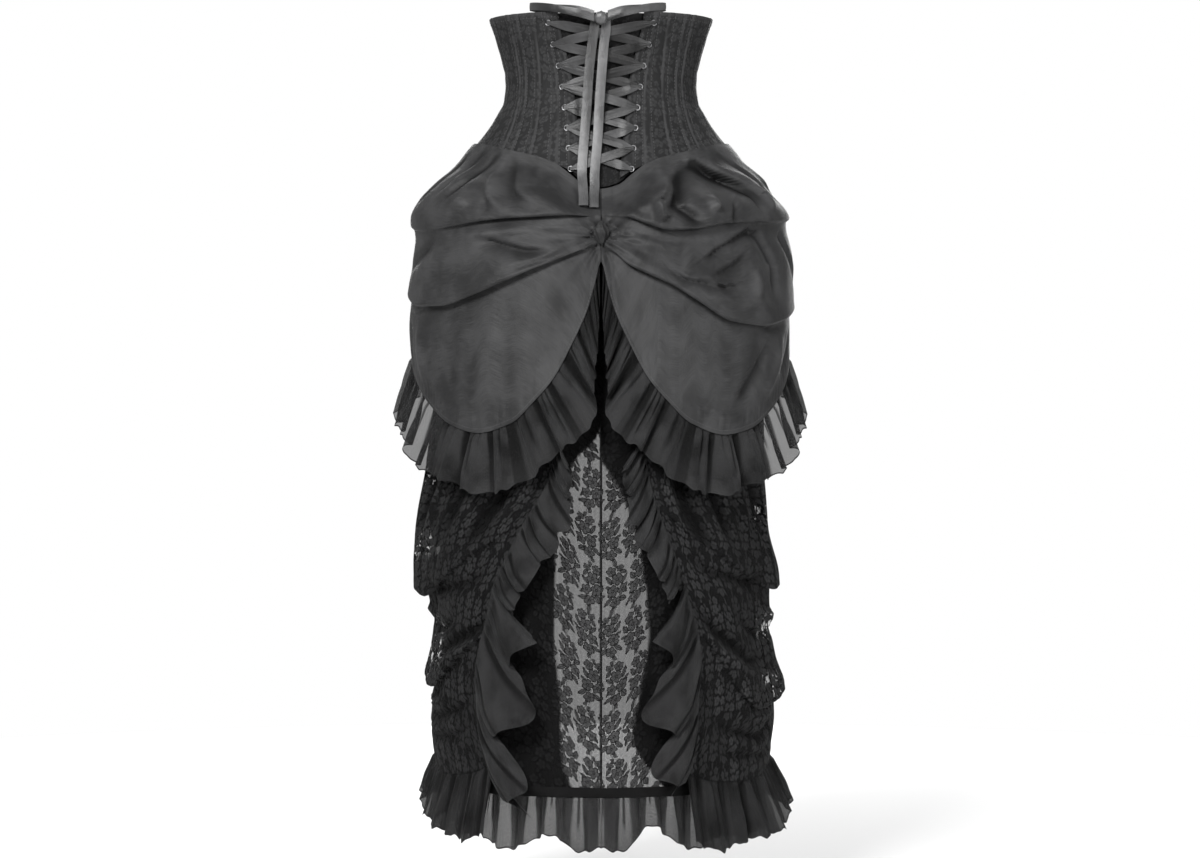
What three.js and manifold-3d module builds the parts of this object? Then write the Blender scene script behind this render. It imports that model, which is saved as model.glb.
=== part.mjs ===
import * as THREE from "three";
import { mergeVertices } from "three/addons/utils/BufferGeometryUtils.js";
import Module from "manifold-3d";

// An underbust corset dress, filled out as it is worn and open inside.
// The corset laces up the back with satin ribbon over a modesty panel. Below it a taffeta
// overskirt is caught up at the centre back and edged with a gathered ruffle, and a long lace
// skirt hangs under it with a looped-up drape and cascading ruffles on each side.
// Millimetres. The origin is the centre of the waist, +Z is up, the laced back faces -Y, and
// +X is the wearer's right. Angles run round the body from the centre back, positive to +X.

const wasm = await Module();
wasm.setup();

// Cloth and gaps
const corsetWall = 2;
const satinWall = 1.5;
const laceWall = 1.4;
const ruffleWall = 1;
const ribbonWall = 0.8;
const seamGap = 0.3;
const layGap = 0.4; // between one cloth and the one that it is sewn on
const facetRoom = 1.1; // more room where the facets of two curved cloths don't match
const centreGap = 0.1; // degrees on each side of the centre back seam
const sideSeamGap = 0.38; // degrees on each side of the overskirt's side seams

// Corset
const corsetTop = 84;
const boneWidth = 7;
const boneRise = 1;
const laceRows = 8;
const firstLaceRow = 70;
const lastLaceRow = -118;
const eyeletInset = 14; // from the lacing edge
const ribbonWidth = 12;
const lowCrossing = 1.5; // how far each lacing ribbon stands out of the gap where they cross
const highCrossing = 3.2;

// Skirts
const sewnOverlap = 8; // how far a skirt's top lies on the corset, and a ruffle's on its edge
const skirtFrontEdge = 128; // the angle where the open front of the long skirt starts
const overskirtEnd = 118; // the angle where the overskirt's back meets its front piece
const hemBandHeight = 14;
// How far a skirt's outer face lies outside or inside the corset where its top is sewn on.
const overCorset = boneRise + layGap + facetRoom + 1 + satinWall;
const underCorset = corsetWall + layGap + facetRoom;

const degree = Math.PI / 180;
const left = -1;
const right = 1;
const sideName = { [left]: "left", [right]: "right" };

// A table with named columns, read anywhere between its rows along a smooth curve.
function table(names, rows) {
  const at = rows.map((row) => row[0]);
  const direction = at[1] > at[0] ? 1 : -1;
  return (name, x) => {
    const column = rows.map((row) => row[names.indexOf(name)]);
    const slope = (i) => {
      if (i <= 0 || i >= at.length - 1) return 0;
      const before = (column[i] - column[i - 1]) / (at[i] - at[i - 1]);
      const after = (column[i + 1] - column[i]) / (at[i + 1] - at[i]);
      return before * after <= 0 ? 0 : (2 * before * after) / (before + after);
    };
    let i = 0;
    while (i < at.length - 2 && (x - at[i + 1]) * direction > 0) i += 1;
    const span = at[i + 1] - at[i];
    const t = THREE.MathUtils.clamp((x - at[i]) / span, 0, 1);
    const rise = t * t * (3 - 2 * t);
    return (
      column[i] * (1 - rise) +
      column[i + 1] * rise +
      slope(i) * span * t * (1 - t) * (1 - t) -
      slope(i + 1) * span * t * t * (1 - t)
    );
  };
}

// Sections at each height: half the width, and how far the back and the front stand off the origin.
const corsetRings = table(
  ["z", "half", "back", "front"],
  [
    [90, 145, 98, 106],
    [58, 137, 92, 101],
    [33, 129.5, 86, 96],
    [0, 124, 82, 92],
    [-20, 126.5, 83, 93],
    [-45, 138, 88, 98],
    [-71, 156, 96, 106],
    [-90, 172, 103, 113],
    [-120, 190, 110, 122],
    [-160, 206, 120, 130],
  ],
);
const overskirtRings = table(
  ["z", "half", "back", "front"],
  [
    [-70, 158, 100, 108],
    [-90, 177, 112, 118],
    [-111, 195, 128, 125],
    [-130, 213, 144, 130],
    [-150, 229, 158, 135],
    [-175, 239, 170, 139],
    [-210, 240, 182, 142],
    [-260, 242, 192, 145],
    [-320, 245, 198, 148],
    [-380, 243, 201, 150],
    [-460, 239, 203, 152],
  ],
);
const laceRings = table(
  ["z", "half", "back", "front"],
  [
    [-80, 156, 92, 106],
    [-120, 173, 106, 111],
    [-160, 185, 126, 115],
    [-210, 194, 148, 120],
    [-300, 196, 162, 124],
    [-450, 196, 170, 127],
    [-600, 197, 180, 129],
    [-780, 201, 192, 131],
    [-930, 208, 200, 133],
  ],
);
const drapeRings = {
  [left]: table(
    ["z", "half", "back", "front"],
    [
      [-210, 200, 152, 122],
      [-260, 208, 166, 130],
      [-400, 214, 179, 136],
      [-500, 219, 186, 138],
      [-570, 226, 192, 142],
      [-640, 224, 197, 144],
      [-700, 214, 201, 144],
      [-770, 215, 206, 146],
      [-825, 222, 208, 147],
      [-880, 216, 209, 146],
    ],
  ),
  [right]: table(
    ["z", "half", "back", "front"],
    [
      [-210, 200, 152, 122],
      [-260, 206, 166, 130],
      [-400, 208, 179, 136],
      [-500, 208, 186, 138],
      [-570, 208, 192, 140],
      [-640, 216, 197, 142],
      [-700, 216, 201, 143],
      [-770, 218, 206, 145],
      [-825, 222, 208, 146],
      [-880, 219, 209, 146],
    ],
  ),
};

// The corset's lower edge and half the lacing gap.
const corsetLow = table(
  ["angle", "z"],
  [
    [0, -152],
    [6, -147],
    [11, -134],
    [17, -120],
    [25, -110],
    [40, -100],
    [60, -90],
    [90, -85],
    [130, -88],
    [160, -102],
    [180, -114],
  ],
);
const lacingGap = table(
  ["z", "half"],
  [
    [90, 55],
    [0, 37],
    [-100, 26],
    [-155, 22],
  ],
);
const corsetSeams = table(
  ["z", "back", "sideBack", "side", "front"],
  [
    [90, 36, 54, 98, 142],
    [0, 38, 56, 98, 142],
    [-90, 30, 46, 95, 142],
    [-150, 27, 44, 95, 142],
  ],
);

// The overskirt's fold lines and hem, with how deep each tuck is laid.
const overskirtFolds = {
  [left]: table(
    ["angle", "fold1", "deep1", "fold2", "deep2", "hem"],
    [
      [0, -177, 3, -212, 3, -238],
      [2, -177, 5, -214, 5, -270],
      [4, -178, 8, -218, 8, -300],
      [8, -178, 11, -225, 11, -338],
      [14, -179, 12, -236, 12, -384],
      [20, -180, 12, -246, 13, -412],
      [28, -181, 11, -260, 14, -440],
      [40, -184, 10, -278, 14, -452],
      [52, -189, 8, -289, 13, -442],
      [66, -190, 6, -288, 10, -413],
      [80, -186, 5, -277, 7, -380],
      [92, -180, 5, -264, 6, -356],
      [104, -174, 4, -254, 5, -341],
      [118, -168, 0, -246, 0, -332],
    ],
  ),
  [right]: table(
    ["angle", "fold1", "deep1", "fold2", "deep2", "hem"],
    [
      [0, -176, 3, -214, 3, -238],
      [2, -176, 4, -218, 5, -270],
      [4, -177, 5, -224, 8, -300],
      [8, -180, 8, -240, 11, -338],
      [14, -190, 13, -253, 12, -384],
      [20, -197, 15, -264, 12, -412],
      [28, -195, 15, -284, 13, -440],
      [40, -186, 12, -310, 15, -454],
      [52, -182, 9, -314, 15, -446],
      [66, -179, 7, -306, 12, -418],
      [80, -175, 6, -294, 8, -384],
      [92, -171, 6, -286, 7, -358],
      [104, -168, 4, -272, 5, -341],
      [118, -166, 0, -256, 0, -332],
    ],
  ),
};

// Soft hollows and swells of the overskirt: where they are and how far they stand out.
const overskirtSwells = {
  [left]: [
    { angle: 24, z: -140, wide: 7, tall: 26, out: 4 },
    { angle: 36, z: -136, wide: 6, tall: 26, out: -4 },
    { angle: 52, z: -142, wide: 9, tall: 24, out: 4 },
    { angle: 90, z: -165, wide: 26, tall: 34, out: 4 },
    { angle: 90, z: -310, wide: 26, tall: 50, out: 4 },
  ],
  [right]: [
    { angle: 21, z: -158, wide: 6, tall: 26, out: 6 },
    { angle: 40, z: -134, wide: 10, tall: 24, out: -12 },
    { angle: 60, z: -150, wide: 12, tall: 26, out: 3 },
    { angle: 90, z: -140, wide: 24, tall: 18, out: -8 },
    { angle: 90, z: -230, wide: 26, tall: 34, out: 5 },
  ],
};
const swellAt = (side, angle, z) =>
  overskirtSwells[side].reduce(
    (sum, swell) =>
      sum +
      swell.out *
        Math.exp(-(((angle - swell.angle) / swell.wide) ** 2) - ((z - swell.z) / swell.tall) ** 2),
    0,
  );

// The drapes: where the inner edge runs, and the two tucks that loop the lace up at the side.
const drapeEdge = {
  [left]: table(
    ["z", "angle"],
    [
      [-210, 12],
      [-430, 12],
      [-500, 14],
      [-572, 24],
      [-646, 35],
      [-762, 45],
      [-811, 42],
      [-880, 36],
    ],
  ),
  [right]: table(
    ["z", "angle"],
    [
      [-210, 12],
      [-430, 12],
      [-504, 14],
      [-590, 22],
      [-647, 27],
      [-734, 33],
      [-784, 31],
      [-885, 28],
    ],
  ),
};
const drapeFolds = {
  [left]: table(
    ["across", "fold1", "deep1", "fold2", "deep2", "hem"],
    [
      [0, -560, 1, -700, 1, -862],
      [0.12, -590, 5, -730, 6, -876],
      [0.3, -640, 10, -772, 13, -884],
      [0.5, -660, 15, -776, 14, -876],
      [0.64, -646, 18, -762, 13, -866],
      [0.8, -620, 12, -745, 10, -866],
      [1, -600, 5, -730, 5, -872],
    ],
  ),
  [right]: table(
    ["across", "fold1", "deep1", "fold2", "deep2", "hem"],
    [
      [0, -540, 1, -690, 1, -876],
      [0.12, -580, 4, -740, 5, -886],
      [0.3, -628, 8, -798, 13, -890],
      [0.5, -650, 12, -792, 16, -880],
      [0.64, -642, 15, -770, 17, -868],
      [0.8, -618, 11, -756, 12, -868],
      [1, -600, 5, -750, 5, -872],
    ],
  ),
};

// Rows of a tuck: where each row lies above or below the fold line, how much of the tuck's lift it
// takes back up, and the share of the tuck's depth by which it stands out.
const tuckRows = [
  { drop: 5, lift: 0, out: 0.97 },
  { drop: 0, lift: 0, out: 1 },
  { drop: -3, lift: 0, out: 0.78 },
  { drop: -4.5, lift: 1, out: 0.44 },
  { drop: -6.5, lift: 1.08, out: 0.1 },
  { drop: -13, lift: 0, out: 0 },
];
const tuckLiftFrom = 7.5; // a tuck shallower than this is a step with no overhang
const tuckLiftTimes = 1.7;

const smooth = (x) => THREE.MathUtils.smoothstep(x, 0, 1);
const mix = THREE.MathUtils.lerp;

// How far round from the centre back an angle is, either way.
const fromBack = (angle) => (Math.abs(angle) > 180 ? 360 - Math.abs(angle) : Math.abs(angle));

function onRing(rings, angle, z, out = 0) {
  const half = rings("half", z) + out;
  const depth = rings(Math.cos(angle * degree) > 0 ? "back" : "front", z) + out;
  return new THREE.Vector3(
    half * Math.sin(angle * degree),
    -depth * Math.cos(angle * degree),
    z,
  );
}

// A skirt's surface: it lies on the corset at its top and comes out to its own rings below.
function onSkirt(rings, angle, z, out, corsetOut, reach) {
  const leave = smooth((corsetLow("z", fromBack(angle)) - z) / reach);
  return onRing(corsetRings, angle, z, corsetOut).lerp(
    onRing(rings, angle, z, out),
    leave,
  );
}

const meshOf = (name, geometry, material) => {
  const mesh = new THREE.Mesh(geometry, material);
  mesh.name = name;
  return mesh;
};

function volumeOf(points, faces) {
  let volume = 0;
  for (const [a, b, c] of faces)
    volume += points[a].dot(points[b].clone().cross(points[c])) / 6;
  return volume;
}

function geometryOf(points, faces) {
  const facing = volumeOf(points, faces) < 0 ? ([a, b, c]) => [a, c, b] : (f) => f;
  const geometry = new THREE.BufferGeometry();
  const positions = points.flatMap((p) => p.toArray());
  geometry.setAttribute("position", new THREE.Float32BufferAttribute(positions, 3));
  geometry.setIndex(faces.flatMap(facing));
  geometry.computeVertexNormals();
  return geometry;
}

// The closed surface between an outer and an inner grid of points, column by column.
function closedGeometry(outerGrid, innerGrid) {
  const columns = outerGrid.length;
  const rows = outerGrid[0].length;
  const outer = (i, j) => i * rows + j;
  const inner = (i, j) => columns * rows + outer(i, j);
  const faces = [];
  const quad = (a, b, c, d) => faces.push([a, b, c], [a, c, d]);
  for (let i = 0; i < columns - 1; i += 1)
    for (let j = 0; j < rows - 1; j += 1) {
      quad(outer(i, j), outer(i, j + 1), outer(i + 1, j + 1), outer(i + 1, j));
      quad(inner(i, j), inner(i + 1, j), inner(i + 1, j + 1), inner(i, j + 1));
    }
  const end = rows - 1;
  for (let i = 0; i < columns - 1; i += 1) {
    quad(outer(i, 0), outer(i + 1, 0), inner(i + 1, 0), inner(i, 0));
    quad(outer(i + 1, end), outer(i, end), inner(i, end), inner(i + 1, end));
  }
  const side = columns - 1;
  for (let j = 0; j < end; j += 1) {
    quad(outer(0, j + 1), outer(0, j), inner(0, j), inner(0, j + 1));
    quad(outer(side, j), outer(side, j + 1), inner(side, j + 1), inner(side, j));
  }
  return geometryOf([...outerGrid.flat(), ...innerGrid.flat()], faces);
}

// A sheet of cloth: point(column, row) gives its outer face, and its inner face lies one thickness
// behind. A column past each end gives the ends the same slope as what they are sewn to.
function sheet({ columns, rowCount, point, thickness }) {
  const rows = steps(0, rowCount - 1, rowCount - 1);
  const beyond = (end, next) => ({ ...end, at: 2 * end.at - next.at });
  const last = columns.length - 1;
  const wide = [
    beyond(columns[0], columns[1]),
    ...columns,
    beyond(columns[last], columns[last - 1]),
  ].map((column) => rows.map((row) => point(column, row)));
  const across = (i, j) => wide[i + 2][j].clone().sub(wide[i][j]);
  const downward = (i, j) =>
    wide[i + 1][Math.min(j + 1, rowCount - 1)].clone().sub(wide[i + 1][Math.max(j - 1, 0)]);
  const outer = wide.slice(1, -1);
  const normals = outer.map((column, i) =>
    column.map((_, j) => across(i, j).cross(downward(i, j)).normalize()),
  );
  let facing = 0;
  outer.forEach((column, i) =>
    column.forEach((p, j) => {
      facing += normals[i][j].x * p.x + normals[i][j].y * p.y;
    }),
  );
  const back = facing > 0 ? -thickness : thickness;
  const inner = outer.map((column, i) =>
    column.map((p, j) => p.clone().addScaledVector(normals[i][j], back)),
  );
  return { columns, outer, inner, geometry: closedGeometry(outer, inner) };
}

const steps = (from, to, count) =>
  Array.from({ length: count + 1 }, (_, i) => mix(from, to, i / count));
const columnsAt = (values) => values.map((at) => ({ at }));

// The last two rows of a sheet's face, anywhere between its columns: where a ruffle is sewn on.
function hemStrip(cloth, face) {
  const { columns } = cloth;
  const last = cloth[face][0].length - 1;
  return (at) => {
    let i = 0;
    while (i < columns.length - 2 && at > columns[i + 1].at) i += 1;
    const share = (at - columns[i].at) / (columns[i + 1].at - columns[i].at);
    const pick = (row) => cloth[face][i][row].clone().lerp(cloth[face][i + 1][row], share);
    return { top: pick(last - 1), edge: pick(last) };
  };
}

// Corset panels, with their bones raised in the outer face. Bones and widths are in millimetres
// across a panel's middle.
const panelRows = [0, 0.17, 0.35, 0.52, 0.7, 0.86, 1];
const longestPanelStep = 22;

// A panel's columns: its two seams, the ridge of each bone, and more between distant ones.
function panelColumns(bones, width) {
  const marks = [{ at: 0, rise: 0 }];
  for (const bone of bones)
    marks.push(
      { at: bone - boneWidth / 2, rise: 0 },
      { at: bone, rise: boneRise },
      { at: bone + boneWidth / 2, rise: 0 },
    );
  marks.push({ at: width, rise: 0 });
  return marks.flatMap((mark, i) => {
    const next = marks[i + 1];
    if (!next) return [mark];
    const parts = Math.ceil((next.at - mark.at) / longestPanelStep);
    return steps(0, 1, parts)
      .slice(0, -1)
      .map((t) => ({ at: mix(mark.at, next.at, t), rise: mark.rise * (t === 0 ? 1 : 0) }));
  });
}

function corsetPanel(name, from, to, bones, width, material) {
  const { geometry } = sheet({
    columns: panelColumns(bones, width),
    rowCount: panelRows.length,
    thickness: corsetWall,
    point: (column, row) => {
      const share = column.at / width;
      const middle = mix(from(-50), to(-50), share);
      const z = mix(corsetTop, corsetLow("z", fromBack(middle)), panelRows[row]);
      const turn = Math.sign(to(z) - from(z));
      const inset = seamGap / 2 / corsetRings("front", z) / degree;
      const angle = mix(from(z) + turn * inset, to(z) - turn * inset, share);
      return onRing(corsetRings, angle, z, column.rise);
    },
  });
  return meshOf(name, geometry, material);
}

const lacingAngle = (z) =>
  Math.asin(lacingGap("half", z) / corsetRings("half", z)) / degree;

function corsetPanels(side, material) {
  const seam = (column) => (z) => side * corsetSeams(column, z);
  const lacingEdge = (z) => side * lacingAngle(z);
  const named = (part) => `corset_${part}_${sideName[side]}`;
  return [
    corsetPanel(named("back"), lacingEdge, seam("back"), [6, 22], 40, material),
    corsetPanel(named("side_back"), seam("back"), seam("sideBack"), [5, 27], 34, material),
    corsetPanel(named("side"), seam("sideBack"), seam("side"), [5, 48], 92, material),
    corsetPanel(named("side_front"), seam("side"), seam("front"), [5, 50], 92, material),
  ];
}

// The front panel is one piece across the centre front.
function corsetFront(material) {
  const from = (z) => corsetSeams("front", z);
  const to = (z) => 360 - corsetSeams("front", z);
  return corsetPanel("corset_front", from, to, [5, 62, 78, 135], 140, material);
}

// The modesty panel closes the lacing gap from the inside.
function modestyPanel(material) {
  const tuckedUnder = 18;
  const endGap = 3; // above the long skirt's top edge
  const rowCount = 6;
  const { geometry } = sheet({
    columns: columnsAt(steps(-1, 1, 8)),
    rowCount,
    thickness: satinWall,
    point: ({ at }, row) => {
      const down = row / (rowCount - 1);
      const level = mix(corsetTop - 2, corsetLow("z", 0), down);
      const reach = lacingGap("half", level) + tuckedUnder;
      const angle = Math.asin((at * reach) / corsetRings("half", level)) / degree;
      const low = corsetLow("z", Math.abs(angle)) + sewnOverlap + endGap;
      const z = mix(corsetTop - 2, low, down);
      return onRing(corsetRings, angle, z, -corsetWall - layGap - facetRoom);
    },
  });
  return meshOf("modesty_panel", geometry, material);
}

const solidOf = (geometry) => {
  const bare = geometry.clone();
  bare.deleteAttribute("normal");
  bare.deleteAttribute("uv");
  const merged = mergeVertices(bare, 1e-4);
  return new wasm.Manifold(
    new wasm.Mesh({
      numProp: 3,
      vertProperties: merged.attributes.position.array,
      triVerts: new Uint32Array(merged.index.array),
    }),
  );
};

function geometryFrom(solid) {
  const made = solid.getMesh();
  const geometry = new THREE.BufferGeometry();
  geometry.setAttribute("position", new THREE.Float32BufferAttribute(made.vertProperties, 3));
  geometry.setIndex(Array.from(made.triVerts));
  geometry.computeVertexNormals();
  return geometry;
}

// One ribbon of the lacing runs from side to side down the rows of eyelets, and the other mirrors
// it. Each crossing is a flat band, and the bands of one ribbon are joined at the eyelets.
const laceRowHeight = (row) => mix(firstLaceRow, lastLaceRow, row / (laceRows - 1));

function lacingBand(fromSide, row, midOut) {
  const ends = [row, row + 1].map((r, i) => {
    const z = laceRowHeight(r);
    const side = i === 0 ? fromSide : -fromSide;
    return { x: side * (lacingGap("half", z) + eyeletInset), z };
  });
  const pinched = 2.2; // half the ribbon's height where it is drawn into an eyelet
  const overBone = boneRise + layGap + ribbonWall + 1.5;
  const length = Math.abs(ends[1].x - ends[0].x);
  const { geometry } = sheet({
    columns: columnsAt(steps(0, 1, 7)),
    rowCount: 2,
    thickness: ribbonWall,
    point: ({ at }, rim) => {
      const along = THREE.MathUtils.clamp(at, 0, 1);
      const open = smooth(Math.sin(Math.PI * along) * 1.7);
      const fromEyelet = Math.min(along, 1 - along) * length;
      const inGap = smooth((fromEyelet - eyeletInset + 2) / 10);
      const x = mix(ends[0].x, ends[1].x, at);
      const edge = (rim === 0 ? 1 : -1) * mix(pinched, ribbonWidth / 2, open);
      const z = mix(ends[0].z, ends[1].z, at) + edge;
      const angle = Math.asin(x / corsetRings("half", z)) / degree;
      return onRing(corsetRings, angle, z, mix(overBone, midOut, inGap));
    },
  });
  return solidOf(geometry);
}

function lacingRibbon(side, midOut, material) {
  let solid = null;
  for (let row = 0; row < laceRows - 1; row += 1) {
    const band = lacingBand(row % 2 === 0 ? side : -side, row, midOut);
    solid = solid ? solid.add(band) : band;
  }
  return meshOf(`lacing_${sideName[side]}`, geometryFrom(solid), material);
}

// A ribbon laid along a smooth path; across(t) is the direction of its width.
function ribbonAlong(path, width, count, across) {
  const curve = new THREE.CatmullRomCurve3(path.map(([x, y, z]) => new THREE.Vector3(x, y, z)));
  const end = curve.getPoint(1);
  const endSlope = curve.getTangent(1);
  const start = curve.getPoint(0);
  const startSlope = curve.getTangent(0);
  const pointAt = (t) => {
    if (t < 0) return start.clone().addScaledVector(startSlope, t * 100);
    if (t > 1) return end.clone().addScaledVector(endSlope, (t - 1) * 100);
    return curve.getPoint(t);
  };
  return sheet({
    columns: columnsAt(steps(0, 1, count)),
    rowCount: 2,
    thickness: ribbonWall,
    point: ({ at }, row) =>
      pointAt(at).addScaledVector(across(at), ((row === 0 ? 1 : -1) * width) / 2),
  }).geometry;
}

const knotDepth = 105.5; // how far behind the origin the middle of the bow's knot sits
const knotSize = { x: 8, y: 4.4, z: 8.5 };
const knotHeight = 74;

function bowLoop(side, material) {
  const tip = side === left ? 90 : 82;
  const path = [
    [knotSize.x + 0.4, knotDepth + 1.2, knotHeight],
    [tip * 0.35, knotDepth + 4, knotHeight + 6],
    [tip * 0.72, knotDepth - 10, knotHeight + 14],
    [tip * 0.97, knotDepth - 30, knotHeight + 18],
    [tip * 1.01, knotDepth - 36, knotHeight + 18],
    [tip * 0.92, knotDepth - 37, knotHeight + 16.5],
    [tip * 0.6, knotDepth - 20, knotHeight + 14],
    [tip * 0.3, knotDepth - 5.5, knotHeight + 10],
    [knotSize.x + 0.4, knotDepth - 1.6, knotHeight + 4],
  ].map(([x, y, z]) => [side * x, -y, z]);
  const upright = () => new THREE.Vector3(0, 0, 1);
  const geometry = ribbonAlong(path, ribbonWidth - 2, 16, upright);
  return meshOf(`bow_loop_${sideName[side]}`, geometry, material);
}

function bowKnot(material) {
  const geometry = new THREE.SphereGeometry(1, 10, 7);
  geometry.scale(knotSize.x, knotSize.y, knotSize.z);
  geometry.translate(0, -knotDepth, knotHeight);
  return meshOf("bow_knot", geometryFrom(solidOf(geometry)), material);
}

const tailPaths = {
  [left]: [
    [-7, 100.4, 76],
    [-7.5, 99.4, 71],
    [-8, 98.4, 66],
    [-9.5, 97.8, 56],
    [-11, 97, 44],
    [-15, 97, 10],
    [-18, 98.6, -35],
    [-21, 103.4, -75],
    [-23, 110.4, -100],
    [-24, 118, -124],
    [-23, 128, -140],
    [-22, 140, -155],
    [-22, 154, -167],
  ],
  [right]: [
    [6.5, 100.4, 76],
    [6.5, 99.5, 71],
    [6.5, 98.6, 66],
    [6, 97.6, 56],
    [4, 96.8, 44],
    [1, 97, 8],
    [-2, 98.8, -35],
    [-4, 104, -75],
    [-6, 111, -100],
    [-8, 118, -124],
    [-8, 124.4, -141],
    [-9, 133, -155],
    [-9, 146, -169],
  ],
};
function ribbonTail(side, material) {
  const path = tailPaths[side].map(([x, y, z]) => [x, -y, z]);
  const lean = side === left ? 0.08 : -0.05;
  const across = (t) =>
    new THREE.Vector3(1, lean * Math.sin(t * Math.PI * 2), 0).normalize();
  const geometry = ribbonAlong(path, ribbonWidth, 18, across);
  return meshOf(`ribbon_tail_${sideName[side]}`, geometry, material);
}

// A column of a tucked cloth, from its top to its hem: plain rows on each layer and the rows of
// the tucks between them. Returns each row's height and how far it stands out.
function tuckedColumn(top, tucks, hem, layerRows, swellPower) {
  const column = [];
  let from = top;
  tucks.forEach(({ fold, deep }, layer) => {
    for (let k = 0; k < layerRows[layer]; k += 1) {
      const t = k / layerRows[layer];
      column.push({ z: mix(from, fold + tuckRows[0].drop, t), out: deep * t ** swellPower });
    }
    const lift = Math.max(0, deep - tuckLiftFrom) * tuckLiftTimes;
    for (const row of tuckRows)
      column.push({ z: fold + row.drop + lift * row.lift, out: deep * row.out });
    from = fold + tuckRows[tuckRows.length - 1].drop - 3;
  });
  const strip = hem + sewnOverlap;
  const last = layerRows[layerRows.length - 1];
  for (let k = 0; k <= last; k += 1) column.push({ z: mix(from, strip, k / last), out: 0 });
  column.push({ z: hem, out: 0 });
  return column;
}

// The centre back is gathered in at one point, and the cloth swells away from it.
const gatherHeight = -208;
const gatherDepth = 20;
const gatheredIn = (angle, z) =>
  -gatherDepth *
  Math.exp(-((angle / 9) ** 2)) *
  Math.exp(-(((z - gatherHeight) / 50) ** 2));

const overskirtPoint = (angle, z, out) =>
  onSkirt(overskirtRings, angle, z, out + gatheredIn(angle, z), overCorset, 42);

function overskirtBack(side) {
  const folds = overskirtFolds[side];
  const columns = columnsAt([
    centreGap, 2, 4.5, 8, 12, 17, 23, 31, 40, 50, 61, 72, 83, 95, 107, overskirtEnd - sideSeamGap,
  ]);
  const columnOf = (angle) =>
    tuckedColumn(
      corsetLow("z", Math.abs(angle)) + sewnOverlap,
      [
        { fold: folds("fold1", angle), deep: folds("deep1", angle) },
        { fold: folds("fold2", angle), deep: folds("deep2", angle) },
      ],
      folds("hem", angle),
      [3, 2, 1],
      0.8,
    );
  return sheet({
    columns,
    rowCount: columnOf(0).length,
    thickness: satinWall,
    point: ({ at }, row) => {
      const { z, out } = columnOf(Math.abs(at))[row];
      return overskirtPoint(side * at, z, out + swellAt(side, at, z));
    },
  });
}

const overskirtFrontHem = -332;
function overskirtFront() {
  const rowCount = 7;
  return sheet({
    columns: columnsAt(steps(overskirtEnd + sideSeamGap, 360 - overskirtEnd - sideSeamGap, 12)),
    rowCount,
    thickness: satinWall,
    point: ({ at }, row) => {
      const top = corsetLow("z", fromBack(at)) + sewnOverlap;
      const strip = overskirtFrontHem + sewnOverlap;
      const down = row / (rowCount - 2);
      const z = row === rowCount - 1 ? overskirtFrontHem : mix(top, strip, down);
      const fromSeam = Math.min(at, 360 - at) - overskirtEnd;
      return overskirtPoint(at, z, 5 * smooth(fromSeam / 25) * Math.sin(Math.min(down, 1) * Math.PI));
    },
  });
}

const outwards = (angle) =>
  new THREE.Vector3(Math.sin(angle * degree), -Math.cos(angle * degree), 0);
const straightDown = new THREE.Vector3(0, 0, -1);

// A gathered ruffle: it is flat on the strip that it is sewn to, and its waves open below that.
// strip(s) gives the sewn strip's two points, the way out from the body, and the way it hangs.
const columnsPerWave = 4;
function ruffle({ strip, waves, width, wave, flare, rows = [0, 0, 0.5, 1] }) {
  const count = waves * columnsPerWave;
  return sheet({
    columns: columnsAt(steps(0, 1, count)),
    rowCount: rows.length,
    thickness: ruffleWall,
    point: ({ at }, row) => {
      const { top, edge, out, hang } = strip(THREE.MathUtils.clamp(at, 0, 1));
      if (row === 0) return top;
      const phase = 2 * Math.PI * waves * at;
      const uneven = 0.78 + 0.22 * Math.sin(phase * 0.37 + 1);
      const open = smooth(rows[row] * 1.3);
      const fall = (width(at) - sewnOverlap) * rows[row] * (1 + 0.05 * Math.sin(phase * 0.31));
      return edge
        .addScaledVector(hang, fall)
        .addScaledVector(out, flare(at) * fall + wave * uneven * open * Math.cos(phase));
    },
  }).geometry;
}

// Evenly spaced along the line: turns a share of its length into a place between from and to.
function evenly(lineAt, from, to) {
  const places = steps(from, to, 240);
  const lengths = [0];
  places.slice(1).forEach((place, i) => {
    lengths.push(lengths[i] + lineAt(place).distanceTo(lineAt(places[i])));
  });
  const whole = lengths[lengths.length - 1];
  return (s) => {
    let i = 0;
    while (i < places.length - 2 && lengths[i + 1] < s * whole) i += 1;
    const share = (s * whole - lengths[i]) / (lengths[i + 1] - lengths[i]);
    return mix(places[i], places[i + 1], share);
  };
}

// A ruffle's strip along the inside of a hem, between two of the hem's columns.
function insideHem(carrier, from, to, angleOf, hang) {
  const hem = hemStrip(carrier, "inner");
  const placeAt = evenly((at) => hem(at).edge, from, to);
  return (s) => {
    const at = placeAt(s);
    const out = outwards(angleOf(at));
    const { top, edge } = hem(at);
    top.addScaledVector(out, -layGap - 0.35);
    edge.addScaledVector(out, -layGap - 0.35);
    return { top, edge, out, hang: hang(at, s, out, edge) };
  };
}

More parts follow.
